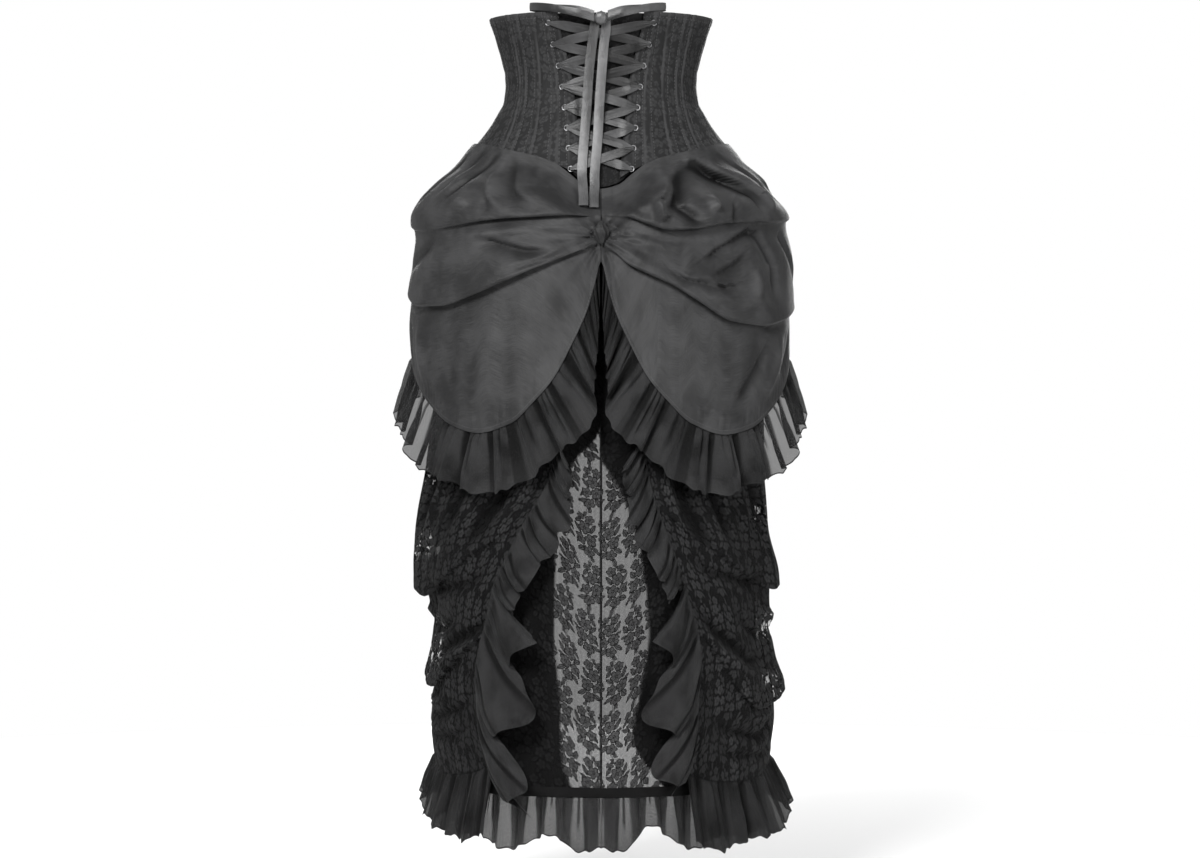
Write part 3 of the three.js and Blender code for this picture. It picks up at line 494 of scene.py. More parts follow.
def makeFlowerGroup():
    # bouquets in rows with open ground between them, uneven as woven lace is
    inputs = {"Place mm": None, "Width": 40.0, "Height": 79.0, "Size": 1.0}
    group, given, end = newGroup("flowerPattern", inputs, ["Motif", "Line", "Tone"])
    place = vectorStep("SCALE", given["Place mm"], 1.0 / given["Size"])
    stray = vectorStep("SUBTRACT", noise(place, bouquet["wanderScale"], output="Color"), (0.5, 0.5, 0.5))
    x, y = split(vectorStep("ADD", place, vectorStep("SCALE", stray, bouquet["wander"])))
    rowShare = y / given["Height"]
    swing = (rowShare * bouquet["halfTurn"]).of("SINE") * bouquet["swing"]
    columnShare = (x + swing) / given["Width"]
    column = columnShare.of("FLOOR")
    rowShare = rowShare + column.math("PINGPONG", column, 1.0) * bouquet["drop"]
    row = rowShare.of("FLOOR")
    cell = {"Vector": combined(column, row)}
    chance = signalOf(group, "ShaderNodeTexWhiteNoise", cell, "Color", noise_dimensions="2D")
    flipChance, tone = (signalOf(group, "ShaderNodeSeparateColor", {0: chance}, k) for k in (0, 2))
    flip = flipChance.math("GREATER_THAN", flipChance, 0.5) * 2.0 - 1.0
    localX = (columnShare - column - 0.5) * given["Width"] * flip
    localY = (rowShare - row - 0.5) * given["Height"]
    local = combined(localX, localY)
    motif, line = None, None
    for shape, key, size in ((makeFlowerShape(), "flowers", "Radius"), (makeLeafShape(), "leaves", "Length")):
        for atX, atY, reach, turn in bouquet[key]:
            inputs = {"Place mm": local, "Centre": (atX, atY, 0), size: reach, "Turn": turn}
            made = addNode(group, "ShaderNodeGroup", inputs, node_tree=shape)
            fill, rim = (Signal(group, socket) for socket in made.outputs)
            motif = motif.most(fill) if motif else fill
            line = line.most(rim) if line else rim
    bend = (localY * bouquet["stemPace"]).of("SINE") * bouquet["stemBend"]
    stem = abs(localX - bend).ramp(*bouquet["stem"]) * bouquet["stemShare"]
    connect(motif, end, "Motif")
    connect(line.most(stem), end, "Line")
    connect(tone, end, "Tone")
    return group


def makeWeaveGroup():
    # crossing threads, with uneven ones among them, and a slow change of tone over the cloth
    inputs = {"Place mm": None, "Thread mm": 0.8, "Slub": 0.4}
    group, given, end = newGroup("clothWeave", inputs, ["Height", "Tone"])
    place = given["Place mm"]
    x, y = split(place)
    pace = 6.283 / given["Thread mm"]
    stretched = {"Vector": place, "Scale": (0.05, 1.4, 1)}
    streak = noise(signalOf(group, "ShaderNodeMapping", stretched, vector_type="POINT"), 1.0)
    cloud = noise(place, 0.02, 3.0)
    fine = ((x * pace).of("SINE") + (y * pace).of("SINE")) * 0.25
    rough = (streak - 0.5) * given["Slub"]
    connect(fine + rough, end, "Height")
    connect(rough * 0.6 + cloud, end, "Tone")
    return group


def makeNetGroup():
    # the thread of a fine net with rounded meshes
    inputs = {"Place mm": None, "Mesh mm": 1.8, "Thread": 0.14}
    group, given, end = newGroup("netThread", inputs, ["Thread"])
    point = vectorStep("SCALE", given["Place mm"], 1.0 / given["Mesh mm"])
    cells = {"Vector": point, "Scale": 1.0, "Randomness": 0.35}
    edge = signalOf(group, "ShaderNodeTexVoronoi", cells, "Distance",
                    voronoi_dimensions="2D", feature="DISTANCE_TO_EDGE")
    connect((edge - given["Thread"]).ramp(0.05, -0.05), end, "Thread")
    return group


flowerGroup = makeFlowerGroup()
weaveGroup = makeWeaveGroup()
netGroup = makeNetGroup()


def newMaterial(name, **constants):
    material = bpy.data.materials.new(name)
    material.use_nodes = True
    tree = material.node_tree
    shader = tree.nodes["Principled BSDF"]
    for socket, value in constants.items():
        shader.inputs[socket.replace("_", " ")].default_value = value
    return material, tree, shader


def clothMaterial(name, **constants):
    # its third result is the place on the flat cloth, in millimetres
    material, tree, shader = newMaterial(name, **constants)
    place = signalOf(tree, "ShaderNodeUVMap", uv_map="clothPlace")
    return material, shader, vectorStep("SCALE", place, 1000.0)


def useGroup(group, place, **values):
    inputs = {key.replace("_", " "): value for key, value in values.items()}
    made = addNode(place.tree, "ShaderNodeGroup", {"Place mm": place, **inputs}, node_tree=group)
    return {socket.name: Signal(place.tree, socket) for socket in made.outputs}


def greyBlend(shader, share, look):
    greys = [(look[key], look[key], look[key] * 1.02, 1) for key in ("dark", "light")]
    inputs = {0: share, 6: greys[0], 7: greys[1]}
    connect(signalOf(share.tree, "ShaderNodeMix", inputs, 2, data_type="RGBA"), shader, "Base Color")


def addBump(shader, height, strength=1.0, distance=0.001):
    inputs = {"Height": height, "Distance": distance, "Strength": strength}
    connect(signalOf(height.tree, "ShaderNodeBump", inputs), shader, "Normal")


def attributeOf(place, name):
    return signalOf(place.tree, "ShaderNodeAttribute", None, "Fac", attribute_name=name)


def makeSatin(name, look):
    material, shader, place = clothMaterial(
        name, Roughness=look["rough"], Sheen_Weight=look["sheen"], Sheen_Roughness=0.4,
        Specular_IOR_Level=look["gloss"], Anisotropic=look["grain"])
    weave = useGroup(weaveGroup, place, Thread_mm=look["thread"], Slub=look["slub"])
    crinkle = noise(place, look["crinkle"], 4.0, 0.55)
    # painted shading from the mesh: it darkens the colour, and lightens it where it is below zero
    lit = 1.0 - attributeOf(place, "hollow")
    greyBlend(shader, weave["Tone"].ramp(0.25, 0.8, 0.3, 0.7) * lit, look)
    rough = weave["Tone"].ramp(0.2, 0.8, look["rough"] - 0.06, look["rough"] + 0.08)
    connect(rough, shader, "Roughness")
    addBump(shader, weave["Height"] * look["weaveDepth"] + crinkle * look["crinkleDepth"])
    return material


taffeta = makeSatin("taffeta", {
    "rough": 0.42, "sheen": 0.01, "gloss": 0.13, "grain": 0.3, "thread": 0.9, "slub": 1.1, "crinkle": 0.045,
    "dark": 0.0015, "light": 0.045, "weaveDepth": 0.12, "crinkleDepth": 0.5,
})
# a darker copy of the taffeta for the gathered knot: painted shade
shadedKnotTaffeta = makeSatin("shadedKnotTaffeta", {
    "rough": 0.45, "sheen": 0.01, "gloss": 0.15, "grain": 0.3, "thread": 0.9, "slub": 1.0, "crinkle": 0.12,
    "dark": 0.002, "light": 0.022, "weaveDepth": 0.12, "crinkleDepth": 0.8,
})
ribbonLook = {
    "rough": 0.3, "sheen": 0.02, "gloss": 0.35, "grain": 0.5, "thread": 0.7, "slub": 0.3, "crinkle": 0.09,
    "dark": 0.008, "light": 0.115, "weaveDepth": 0.06, "crinkleDepth": 0.5,
}
ribbonSatin = makeSatin("ribbonSatin", ribbonLook)
# a darker copy of the ribbon satin for the lacing: painted shade
shadedLacingSatin = makeSatin("shadedLacingSatin", {
    **ribbonLook, "rough": 0.32, "sheen": 0.01, "gloss": 0.24, "dark": 0.003, "light": 0.062,
})


def makeBrocade(name, look):
    # flowers woven in smoother thread, with a painted highlight along the raised bone channels and the top edge
    material, shader, place = clothMaterial(name, Sheen_Weight=0.01, Specular_IOR_Level=0.08)
    weave = useGroup(weaveGroup, place, Thread_mm=look["thread"], Slub=0.5)
    flowers = useGroup(flowerGroup, place, Width=36.0, Height=70.0, Size=look["size"])
    raised = flowers["Motif"] * (1.0 - flowers["Line"] * 0.8)
    worn = attributeOf(place, "boneHighlight") * look["worn"]
    greyBlend(shader, raised * 0.6 + weave["Tone"] * 0.35 + worn, look)
    connect(raised.ramp(0, 1, look["rough"], look["satinRough"]), shader, "Roughness")
    addBump(shader, weave["Height"] * 0.15 + raised * 0.25)
    return material


brocade = makeBrocade("brocade", {
    "thread": 0.8, "size": 0.75, "dark": 0.008, "light": 0.026, "rough": 0.65, "satinRough": 0.45,
    "worn": 1.5,
})
modestyCloth = makeBrocade("modestyCloth", {
    "thread": 0.8, "size": 0.6, "dark": 0.005, "light": 0.012, "rough": 0.7, "satinRough": 0.4,
    "worn": 0.0,
})


def makeLace(name, look):
    # net with denser flowers on it, outlined with cord; it is denser where it lies doubled, and there its
    # colour is darkened as painted shade
    material, shader, place = clothMaterial(
        name, Roughness=0.8, Sheen_Weight=look["sheen"], Specular_IOR_Level=0.05)
    width = look["width"]
    flowers = useGroup(flowerGroup, place, Width=width, Height=width * look["tall"], Size=look["size"])
    motif, line = flowers["Motif"], flowers["Line"]
    net = useGroup(netGroup, place, Mesh_mm=look["mesh"], Thread=0.13)
    weave = useGroup(weaveGroup, place, Thread_mm=1.1, Slub=0.3)
    pliesAndShade = attributeOf(place, "pliesAndShade")
    opened = attributeOf(place, "open").ramp(0, 1, 1.0, 0.25)
    ground = net["Thread"].ramp(0, 1, look["hole"], look["thread"]) * opened
    cover = ground.most(motif * look["petal"]).most(line * 0.97)
    cover = 1.0 - (1.0 - cover) * pliesAndShade.ramp(1, 2, 1.0, look["doubled"])
    seam = attributeOf(place, "fromSeam").ramp(look["seam"] + 0.6, look["seam"] - 0.6, 0.0, 0.97)
    connect(cover.most(seam), shader, "Alpha")
    bright = motif * (1.0 - line * 0.9) * (flowers["Tone"] * 0.45 + 0.55)
    # painted shading from the mesh, and painted shade where the lace lies doubled (look deep)
    lit = (1.0 - attributeOf(place, "hollow")) * pliesAndShade.ramp(1, 2, 1.0, look["deep"])
    greyBlend(shader, (bright + 0.12) * lit, look)
    addBump(shader, line * 0.5 + (motif * 0.3 + weave["Height"] * 0.12))
    return material


skirtLace = makeLace("skirtLace", {
    "size": 0.8, "width": 38.0, "tall": 1.97, "mesh": 1.6, "hole": 0.4, "thread": 0.85, "petal": 0.82,
    "seam": 2.6, "doubled": 0.05, "dark": 0.002, "light": 0.022, "sheen": 0.0, "deep": 0.25,
})
drapeLace = makeLace("drapeLace", {
    "size": 0.76, "width": 38.0, "tall": 1.97, "mesh": 1.9, "hole": 0.2, "thread": 0.88, "petal": 0.93,
    "seam": 3.0, "doubled": 0.2, "dark": 0.002, "light": 0.027, "sheen": 0.01, "deep": 0.8,
})


def makeSheer(name, look):
    # a thin gauze with a rolled hem: more see-through in one ply, and with painted shade on its colour where
    # the plies pass two, in its tight folds
    material, shader, place = clothMaterial(
        name, Roughness=0.75, Sheen_Weight=look["sheen"], Specular_IOR_Level=0.1)
    weave = useGroup(weaveGroup, place, Thread_mm=look["weave"], Slub=0.6)
    net = useGroup(netGroup, place, Mesh_mm=look["mesh"], Thread=look["width"])
    pliesAndShade = attributeOf(place, "pliesAndShade")
    cover = pliesAndShade.ramp(1, 2, look["single"], look["double"])
    body = cover.math("ADD", cover, (net["Thread"] - 0.5) * look["netDepth"], clamp=True)
    connect(body.most(attributeOf(place, "fromHem").ramp(2.0, 1.4, 0.0, 0.97)), shader, "Alpha")
    greyBlend(shader, weave["Tone"].ramp(0.1, 0.7) * pliesAndShade.ramp(2.0, 2.8, 1.0, 0.0), look)
    addBump(shader, weave["Height"], 0.4)
    return material


chiffon = makeSheer("chiffon", {
    "weave": 0.9, "mesh": 1.2, "width": 0.2, "netDepth": 0.16, "single": 0.5, "double": 0.93,
    "sheen": 0.02, "dark": 0.002, "light": 0.019,
})
hemNet = makeSheer("hemNet", {
    "weave": 1.0, "mesh": 1.6, "width": 0.16, "netDepth": 0.25, "single": 0.66, "double": 0.95,
    "sheen": 0.02, "dark": 0.002, "light": 0.012,
})


def makePlain(name, look):
    material, shader, place = clothMaterial(name, Roughness=look["rough"], Specular_IOR_Level=0.1)
    weave = useGroup(weaveGroup, place, Thread_mm=0.9, Slub=0.4)
    greyBlend(shader, weave["Tone"].ramp(0.2, 0.8), look)
    addBump(shader, weave["Height"], 0.3)
    return material


binding = makePlain("binding", {"dark": 0.001, "light": 0.004, "rough": 0.8})


def makeSmallPart(name, look):
    # thread and metal, shaded on Object coordinates
    material, tree, shader = newMaterial(name, Metallic=look["metal"], Roughness=look["rough"])
    wear = noise(signalOf(tree, "ShaderNodeTexCoord", None, "Object"), look["scale"], 3.0, 0.5, "3D")
    greyBlend(shader, wear.ramp(0.3, 0.7), look)
    connect(wear.ramp(0.3, 0.7, look["rough"], look["rough"] + 0.15), shader, "Roughness")
    addBump(shader, wear, 0.3, 0.0002)
    return material


sewingThread = makeSmallPart("sewingThread", {
    "metal": 0.0, "rough": 0.45, "scale": 900.0, "dark": 0.03, "light": 0.06,
})
eyeletMetal = makeSmallPart("eyeletMetal", {
    "metal": 1.0, "rough": 0.3, "scale": 500.0, "dark": 0.12, "light": 0.3,
})
print("materials made")


# Ribbons: the bow's two hanging ends are free cords, so they come first

def curveThrough(points, t):
    # a smooth curve through the points, read at shares t of its length in points
    points = np.asarray(points, float)
    padded = np.concatenate([[2 * points[0] - points[1]], points, [2 * points[-1] - points[-2]]])
    place = np.clip(t, 0, 1) * (len(points) - 1)
    i = np.minimum(place.astype(int), len(points) - 2)
    w = (place - i)[:, None]
    p = [padded[i + k] for k in range(4)]
    gap = [np.linalg.norm(b - a, axis=-1, keepdims=True) ** 0.5 for a, b in zip(p, p[1:])]
    slopes = [((p[k + 1] - p[k]) / gap[k] - (p[k + 2] - p[k]) / (gap[k] + gap[k + 1])
               + (p[k + 2] - p[k + 1]) / gap[k + 1]) * gap[1] for k in (0, 1)]
    square = -3 * p[1] + 3 * p[2] - 2 * slopes[0] - slopes[1]
    cube = 2 * p[1] - 2 * p[2] + slopes[0] + slopes[1]
    return p[1] + slopes[0] * w + square * w ** 2 + cube * w ** 3


def ribbonGrid(path, width, count, across, swell=0.5, lines=7):
    t = np.linspace(0, 1, count)
    centre = curveThrough(path, t)
    way = unit(np.stack([across(x) for x in t]))
    share = np.linspace(-0.5, 0.5, lines)
    slope = unit(np.gradient(centre, axis=0))
    face = unit(np.cross(slope, way))
    face *= np.where(face[:, 1:2] > 0, -1, 1)
    bulge = swell * np.cos(share * math.pi)
    flat = centre[:, None] + way[:, None] * (share * width)[None, :, None]
    return flat + face[:, None] * bulge[None, :, None]


tails = {
    "width": 12, "wall": 0.8, "points": 70,
    left: {"lean": 0.08, "shaded": 0.75, "path": [
        [-7, 100.4, 76], [-7.5, 99.4, 71], [-8, 98.4, 66], [-9.5, 97.8, 56], [-11, 97, 44],
        [-15, 97, 10], [-18, 98.6, -35], [-21, 103.4, -75], [-23, 110.4, -100], [-24, 118, -124],
        [-23, 128, -140], [-22, 140, -155], [-22, 154, -167]]},
    right: {"lean": -0.05, "shaded": 0.1, "path": [
        [6.5, 100.4, 76], [6.5, 99.5, 71], [6.5, 98.6, 66], [6, 97.6, 56], [4, 96.8, 44],
        [1, 97, 8], [-2, 98.8, -35], [-4, 104, -75], [-6, 111, -100], [-8, 118, -124],
        [-8, 124.4, -141], [-9, 133, -155], [-9, 146, -169]]},
}


def makeTail(side):
    look = tails[side]
    path = [[x, -y, z] for x, y, z in look["path"]]
    across = lambda t: (1, look["lean"] * math.sin(t * 2 * math.pi), 0)
    grid = ribbonGrid(path, tails["width"], tails["points"], across)
    t = np.linspace(0, 1, len(grid))[:, None]
    # painted shade on the upper left tail, and painted stripes of shade and highlight along both tails
    shadeAndHighlight = look["shaded"] * (1 - smooth((t - 0.42) / 0.3)) + 0.2 * np.sin(t * 21 + side) * np.sin(t * 8)
    tail = clothPiece(named("ribbon_tail", side), "satin", grid, tails["wall"], ribbonSatin,
                      {"hollow": shadeAndHighlight})
    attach(tail, "root")
    middle = grid[:, grid.shape[1] // 2] / 1000


for side in (left, right):
    makeTail(side)

bow = {"depth": 105.5, "height": 74, "half": (8, 4.4, 8.5), "width": 10, "points": 90,
       "tip": {left: 90, right: 82}}


def makeLoop(side):
    tip, depth, height = bow["tip"][side], bow["depth"], bow["height"]
    start = bow["half"][0] + 0.4
    path = [
        [start, depth + 1.2, height], [tip * 0.35, depth + 4, height + 6],
        [tip * 0.72, depth - 10, height + 14], [tip * 0.97, depth - 30, height + 18],
        [tip * 1.01, depth - 36, height + 18], [tip * 0.92, depth - 37, height + 16.5],
        [tip * 0.6, depth - 20, height + 14], [tip * 0.3, depth - 5.5, height + 10],
        [start, depth - 1.6, height + 4],
    ]
    path = [[side * x, -y, z] for x, y, z in path]
    grid = ribbonGrid(path, bow["width"], bow["points"], lambda t: (0, 0, 1), 0.4)
    # bands of painted shade along the loop, paler between them as painted highlight
    shadeAndHighlight = 0.55 + 0.4 * np.sin(np.linspace(0, 11, len(grid))[:, None] + side)
    loop = clothPiece(named("bow_loop", side), "satin", grid, wall["ribbon"], ribbonSatin,
                      {"hollow": shadeAndHighlight})
    declareSheet(loop)


def blob(name, centre, half, shape, material, turned=False):
    # a closed rounded lump whose surface is drawn by shape(turn, rise); its poles lie on Z, or X
    around, up = 48, 24
    turn = np.linspace(0, 2 * math.pi, around, endpoint=False)[:, None]
    rise = np.linspace(-math.pi / 2, math.pi / 2, up + 1)[None, 1:-1]
    reach = np.cos(rise) * shape(turn, rise)
    ball = np.stack([np.cos(turn) * reach, np.sin(turn) * reach, np.sin(rise) + 0 * turn], -1)
    points = np.concatenate([ball.reshape(-1, 3), [[0, 0, -1], [0, 0, 1]]])
    if turned:
        points = points[:, [2, 1, 0]] * [1, 1, -1]
    rows = up - 1
    low, high = around * rows, around * rows + 1
    faces = []
    for i in range(around):
        a, b = i * rows, (i + 1) % around * rows
        faces += [(a + j, b + j, b + j + 1, a + j + 1) for j in range(rows - 1)]
        faces += [(b, a, low), (a + rows - 1, b + rows - 1, high)]
    flat = np.stack([turn * half[0] + 0 * rise, rise * half[2] + 0 * turn], -1).reshape(-1, 2)
    places = np.concatenate([flat, [[0, 0], [0, 0]]]) / 1000
    return meshObject(name, points * half + centre, faces, places, material=material, sharpAngle=180)


def makeBowKnot():
    # ribbon wrapped over the middle of the bow, with its folds running up and down
    def shape(turn, rise):
        return 1 + 0.06 * np.cos(rise * 9 + 0.4 * np.cos(turn)) * np.cos(rise) + 0.03 * np.cos(turn * 3)
    knot = blob("bow_knot_satin", (0, -bow["depth"], bow["height"]), bow["half"], shape, ribbonSatin, True)
    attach(claim(knot, "bow_knot"), "root")


makeBowKnot()
for side in (left, right):
    makeLoop(side)

lacing = {
    "rows": 8, "first": 70, "last": -118, "inset": 14, "width": 12, "pinched": 2.2,
    "out": {left: 1.5, right: 3.2}, "pleat": 0.5, "points": (34, 9), "overBone": 1.5, "wall": 0.5,
}


def laceRow(row):
    return mix(lacing["first"], lacing["last"], row / (lacing["rows"] - 1))


def lacingBand(fromSide, row, midOut):
    ends = []
    for k, endSide in ((row, fromSide), (row + 1, -fromSide)):
        z = laceRow(k)
        ends.append((endSide * (float(lacingGap("half", z)) + lacing["inset"]), z))
    overBone = bone["rise"] + sewn["layGap"] + wall["ribbon"] + lacing["overBone"]
    length = abs(ends[1][0] - ends[0][0])
    along = np.linspace(0, 1, lacing["points"][0])[:, None]
    share = np.linspace(1, -1, lacing["points"][1])[None, :]
    opened = smooth(np.sin(math.pi * along) * 1.7)
    inGap = smooth((np.minimum(along, 1 - along) * length - lacing["inset"] + 2) / 10)
    x = mix(ends[0][0], ends[1][0], along) + 0 * share
    z = mix(ends[0][1], ends[1][1], along) + share * mix(lacing["pinched"], lacing["width"] / 2, opened)
    angle = np.degrees(np.arcsin(x / corsetRings("half", z)))
    pleats = lacing["pleat"] * (1 - 0.7 * opened) * np.cos(share * 2.5 * math.pi)
    pleats = pleats * np.sin(math.pi * along) ** 0.3
    crown = 0.5 * np.cos(share * math.pi / 2) * opened
    return onRing(corsetRings, angle, z, mix(overBone, midOut, inGap) + pleats + crown)


def makeLacing(side):
    points, faces, places, shadeAndHighlight, count = [], [], [], [], 0
    width, area = 0, 0
    for row in range(lacing["rows"] - 1):
        fromSide = side if row % 2 == 0 else -side
        grid = lacingBand(fromSide, row, lacing["out"][side])
        p, f = shellOf(grid, lacing["wall"])
        points.append(p)
        faces.append(f + count)
        places += [clothPlaces(grid).reshape(-1, 2)] * 2
        # painted shade and painted highlight, in bands that change from row to row
        shade = 0.35 + 0.6 * np.sin(row * 2.2 + side * 1.4 + np.linspace(0, 5, len(grid)))
        shadeAndHighlight += [np.repeat(shade, grid.shape[1])] * 2
        count += len(p)
        width += lengthsAlong(grid, 0)[-1].max() / 1000
        a, c, b = grid[:-1, :-1], grid[1:, 1:], grid[1:, :-1]
        area += np.linalg.norm(np.cross(b - a, c - a), axis=-1).sum() / 1e6
    made = meshObject(named("lacing", side, "_satin"), *map(np.concatenate, (points, faces, places)),
                      {"hollow": np.concatenate(shadeAndHighlight)}, shadedLacingSatin)
    claim(made, named("lacing", side))
    flatSizes[made.name] = (round(width, 3), 0.012, round(min(area, width * 0.012), 5))
    declareSheet(made)


for side in (left, right):
    makeLacing(side)
print("ribbons made")


# Corset

def lacingAngle(z):
    return np.degrees(np.arcsin(lacingGap("half", z) / corsetRings("half", z)))


def seamLine(side, name):
    if name == "lacing":
        return lambda z: side * lacingAngle(z)
    return lambda z: side * corsetSeams(name, z)


corsetParts = {
    "back": {"seams": ("lacing", "back"), "bones": [6, 22], "width": 40},
    "side_back": {"seams": ("back", "sideBack"), "bones": [5, 27], "width": 34},
    "side": {"seams": ("sideBack", "side"), "bones": [5, 48], "width": 92},
    "side_front": {"seams": ("side", "front"), "bones": [5, 50], "width": 92},
}
corsetFront = {"bones": [5, 62, 78, 135], "width": 140}
corsetLook = {
    "rows": 64, "step": 2.6, "boneMarks": (1.3, 2.6, 3.5, 4.2, 5, 6), "groove": 0.22, "stitchAway": 5.0,
    "stitchPoints": 60, "edgeWelt": 0.7, "weltWide": 6.5, "quilt": 0.35, "seamDip": 0.35,
}
corsetCreases = {
    None: [
        (-0.9, 5, (0, 0), (46, 4), (70, -6), (96, -3)),
        (-0.9, 6, (0, 0), (52, -22), (74, -30), (100, -24)),
        (-0.7, 5, (0, 0), (60, 22), (86, 15), (112, 20)),
        (1.1, 4, (0, 0), (36, -108), (39, -84), (40, -66)),
        (-0.9, 3, (0, 0), (33, -104), (35, -80)),
        (0.9, 5, (0, 0), (44, -96), (47, -74), (47, -60)),
        (-0.8, 5, (0, 0), (108, 2), (128, -8), (146, -4)),
        (-0.8, 6, (0, 0), (112, -30), (132, -36), (150, -28)),
        (-0.6, 6, (0, 0), (118, 30), (138, 24), (152, 28)),
    ],
}
stitchLines = []


def pick(grid, i, j):
    # points between a grid's columns and rows, with the way out of the cloth
    normals = gridNormals(grid)
    i = np.clip(i, 0, grid.shape[0] - 1.001)
    j = np.clip(j, 0, grid.shape[1] - 1.001)
    a, b = i.astype(int), j.astype(int)
    s, t = (i - a)[:, None], (j - b)[:, None]
    found = []
    for source in (grid, normals):
        top = mix(source[a, b], source[a + 1, b], s)
        low = mix(source[a, b + 1], source[a + 1, b + 1], s)
        found.append(mix(top, low, t))
    return found[0] + found[1] * 0.12, unit(found[1])


def corsetPanel(node, start, end, bones, width):
    look = corsetLook
    marks = list(np.linspace(0, width, int(width / look["step"]) + 1))
    for spot in bones:
        marks += [spot + d for d in look["boneMarks"]] + [spot - d for d in look["boneMarks"]] + [spot]
    across = np.unique(np.round([m for m in marks if 0 <= m <= width], 1))[:, None]
    share = across / width
    down = np.linspace(0, 1, look["rows"])[None, :]
    middle = mix(start(-50.0), end(-50.0), share)
    z = mix(sewn["corsetTop"], corsetLow("z", fromBack(middle)), down)
    turn = np.sign(end(z) - start(z))
    inset = np.degrees(sewn["seamGap"] / 2 / corsetRings("front", z))
    angle = mix(start(z) + turn * inset, end(z) - turn * inset, share)
    rise = np.zeros(z.shape)
    for spot in bones:
        away = np.abs(across - spot)
        rise += bone["rise"] * smooth((4.0 - away) / 2.4)
        rise -= look["groove"] * hump(away - look["stitchAway"], 0.8)
    fromTop = sewn["corsetTop"] - z
    welt = smooth((look["weltWide"] - fromTop) / 1.5)
    quilt = np.clip(np.sin(np.pi * share * (len(bones) + 1)), 0, 1)
    quilt = quilt * np.sin(z * 0.11 + 9 * share) * np.sin(z * 0.043 + 2)
    rise += look["edgeWelt"] * welt + look["quilt"] * quilt * (1 - welt)
    rise += creased(fromBack(angle), z, corsetCreases)
    rise -= look["seamDip"] * hump(np.minimum(across, width - across), 1.4)
    grid = onRing(corsetRings, angle, z, rise)
    places = np.stack([np.radians(angle) * 0.125, z / 1000], -1)
    # painted highlight along the edges of the bone channels and on the top welt
    boneHighlight = sum(hump(np.abs(across - spot) - 3.2, 0.9) for spot in bones) + 0 * z
    boneHighlight = boneHighlight * (0.6 + 0.4 * np.sin(z * 0.07 + 3 * share)) + 0.5 * smooth((6.0 - fromTop) / 1.0)
    panel = clothPiece(node, "brocade", grid, wall["corset"] - 0.4, brocade, {"boneHighlight": boneHighlight},
                       places=places)
    count = look["stitchPoints"]
    rows = np.linspace(0.6, look["rows"] - 1.4, count)
    for spot in bones:
        for at in (spot - look["stitchAway"], spot + look["stitchAway"]):
            if 1 < at < width - 1:
                column = np.interp(at, across[:, 0], np.arange(len(across)))
                stitchLines.append(pick(grid, np.full(count, column), rows))
    under = np.interp(look["weltWide"] + 0.7, fromTop[0], np.arange(look["rows"]))
    columns = np.linspace(0.3, len(across) - 1.3, count)
    stitchLines.append(pick(grid, columns, np.full(count, under)))
    declareSheet(panel)


def makeCorset():
    for side in (left, right):
        for part, piece in corsetParts.items():
            start, end = (seamLine(side, name) for name in piece["seams"])
            corsetPanel(named(f"corset_{part}", side), start, end, piece["bones"], piece["width"])
    corsetPanel("corset_front", lambda z: corsetSeams("front", z), lambda z: 360 - corsetSeams("front", z),
                corsetFront["bones"], corsetFront["width"])


makeCorset()

modesty = {"tuckedUnder": 18, "endGap": 3, "columns": 60, "rows": 60}


def makeModestyPanel():
    at = np.linspace(-1, 1, modesty["columns"])[:, None]
    down = np.linspace(0, 1, modesty["rows"])[None, :]
    top = sewn["corsetTop"] - 2
    level = mix(top, float(corsetLow("z", 0)), down)
    reach = lacingGap("half", level) + modesty["tuckedUnder"]
    angle = np.degrees(np.arcsin(at * reach / corsetRings("half", level)))
    z = mix(top, corsetLow("z", np.abs(angle)) + sewn["overlap"] + modesty["endGap"], down)
    ripple = 0.5 * np.sin(z * 0.35 + at * 3) * np.sin(z * 0.09 + 1) * (1 - np.abs(at)) - 0.3
    grid = onRing(corsetRings, angle, z, ripple - underCorset)
    panel = clothPiece("modesty_panel", "brocade", grid, 1.0, modestyCloth)
    declareSheet(panel)


makeModestyPanel()
print("corset made")


# Overskirt, tucked in two swags on each side of the centre back

overskirt = {"columns": 142, "layers": [9, 7, 7], "centreGap": 0.1, "sideGap": 0.38, "swell": 0.8,
             "gatherHeight": -208, "gatherDepth": 20, "gatherWide": 9, "gatherTall": 50, "frontHem": -332,
             "frontColumns": 110, "frontRows": 60, "comesOut": 42, "hemRib": 0.5, "hemHeight": 5.0, "wall": 0.9}
foldNames = ["angle", "fold1", "deep1", "fold2", "deep2", "hem"]
overskirtFolds = {
    left: table(foldNames, [
        [0, -177, 3, -212, 3, -238], [2, -177, 5, -214, 5, -270], [4, -178, 8, -218, 8, -300],
        [8, -178, 11, -225, 11, -338], [14, -179, 12, -236, 12, -384], [20, -180, 12, -246, 13, -412],
        [28, -181, 11, -260, 14, -440], [40, -184, 10, -278, 14, -452], [52, -189, 8, -289, 13, -442],
        [66, -190, 6, -288, 10, -413], [80, -186, 5, -277, 7, -380], [92, -180, 5, -264, 6, -356],
        [104, -174, 4, -254, 5, -341], [118, -168, 0, -246, 0, -332]]),
    right: table(foldNames, [
        [0, -176, 3, -214, 3, -238], [2, -176, 4, -218, 5, -270], [4, -177, 5, -224, 8, -300],
        [8, -180, 8, -240, 11, -338], [14, -190, 13, -253, 12, -384], [20, -197, 15, -264, 12, -412],
        [28, -195, 15, -284, 13, -440], [40, -186, 12, -310, 15, -454], [52, -182, 9, -314, 15, -446],
        [66, -179, 7, -306, 12, -418], [80, -175, 6, -294, 8, -384], [92, -171, 6, -286, 7, -358],
        [104, -168, 4, -272, 5, -341], [118, -166, 0, -256, 0, -332]]),
}
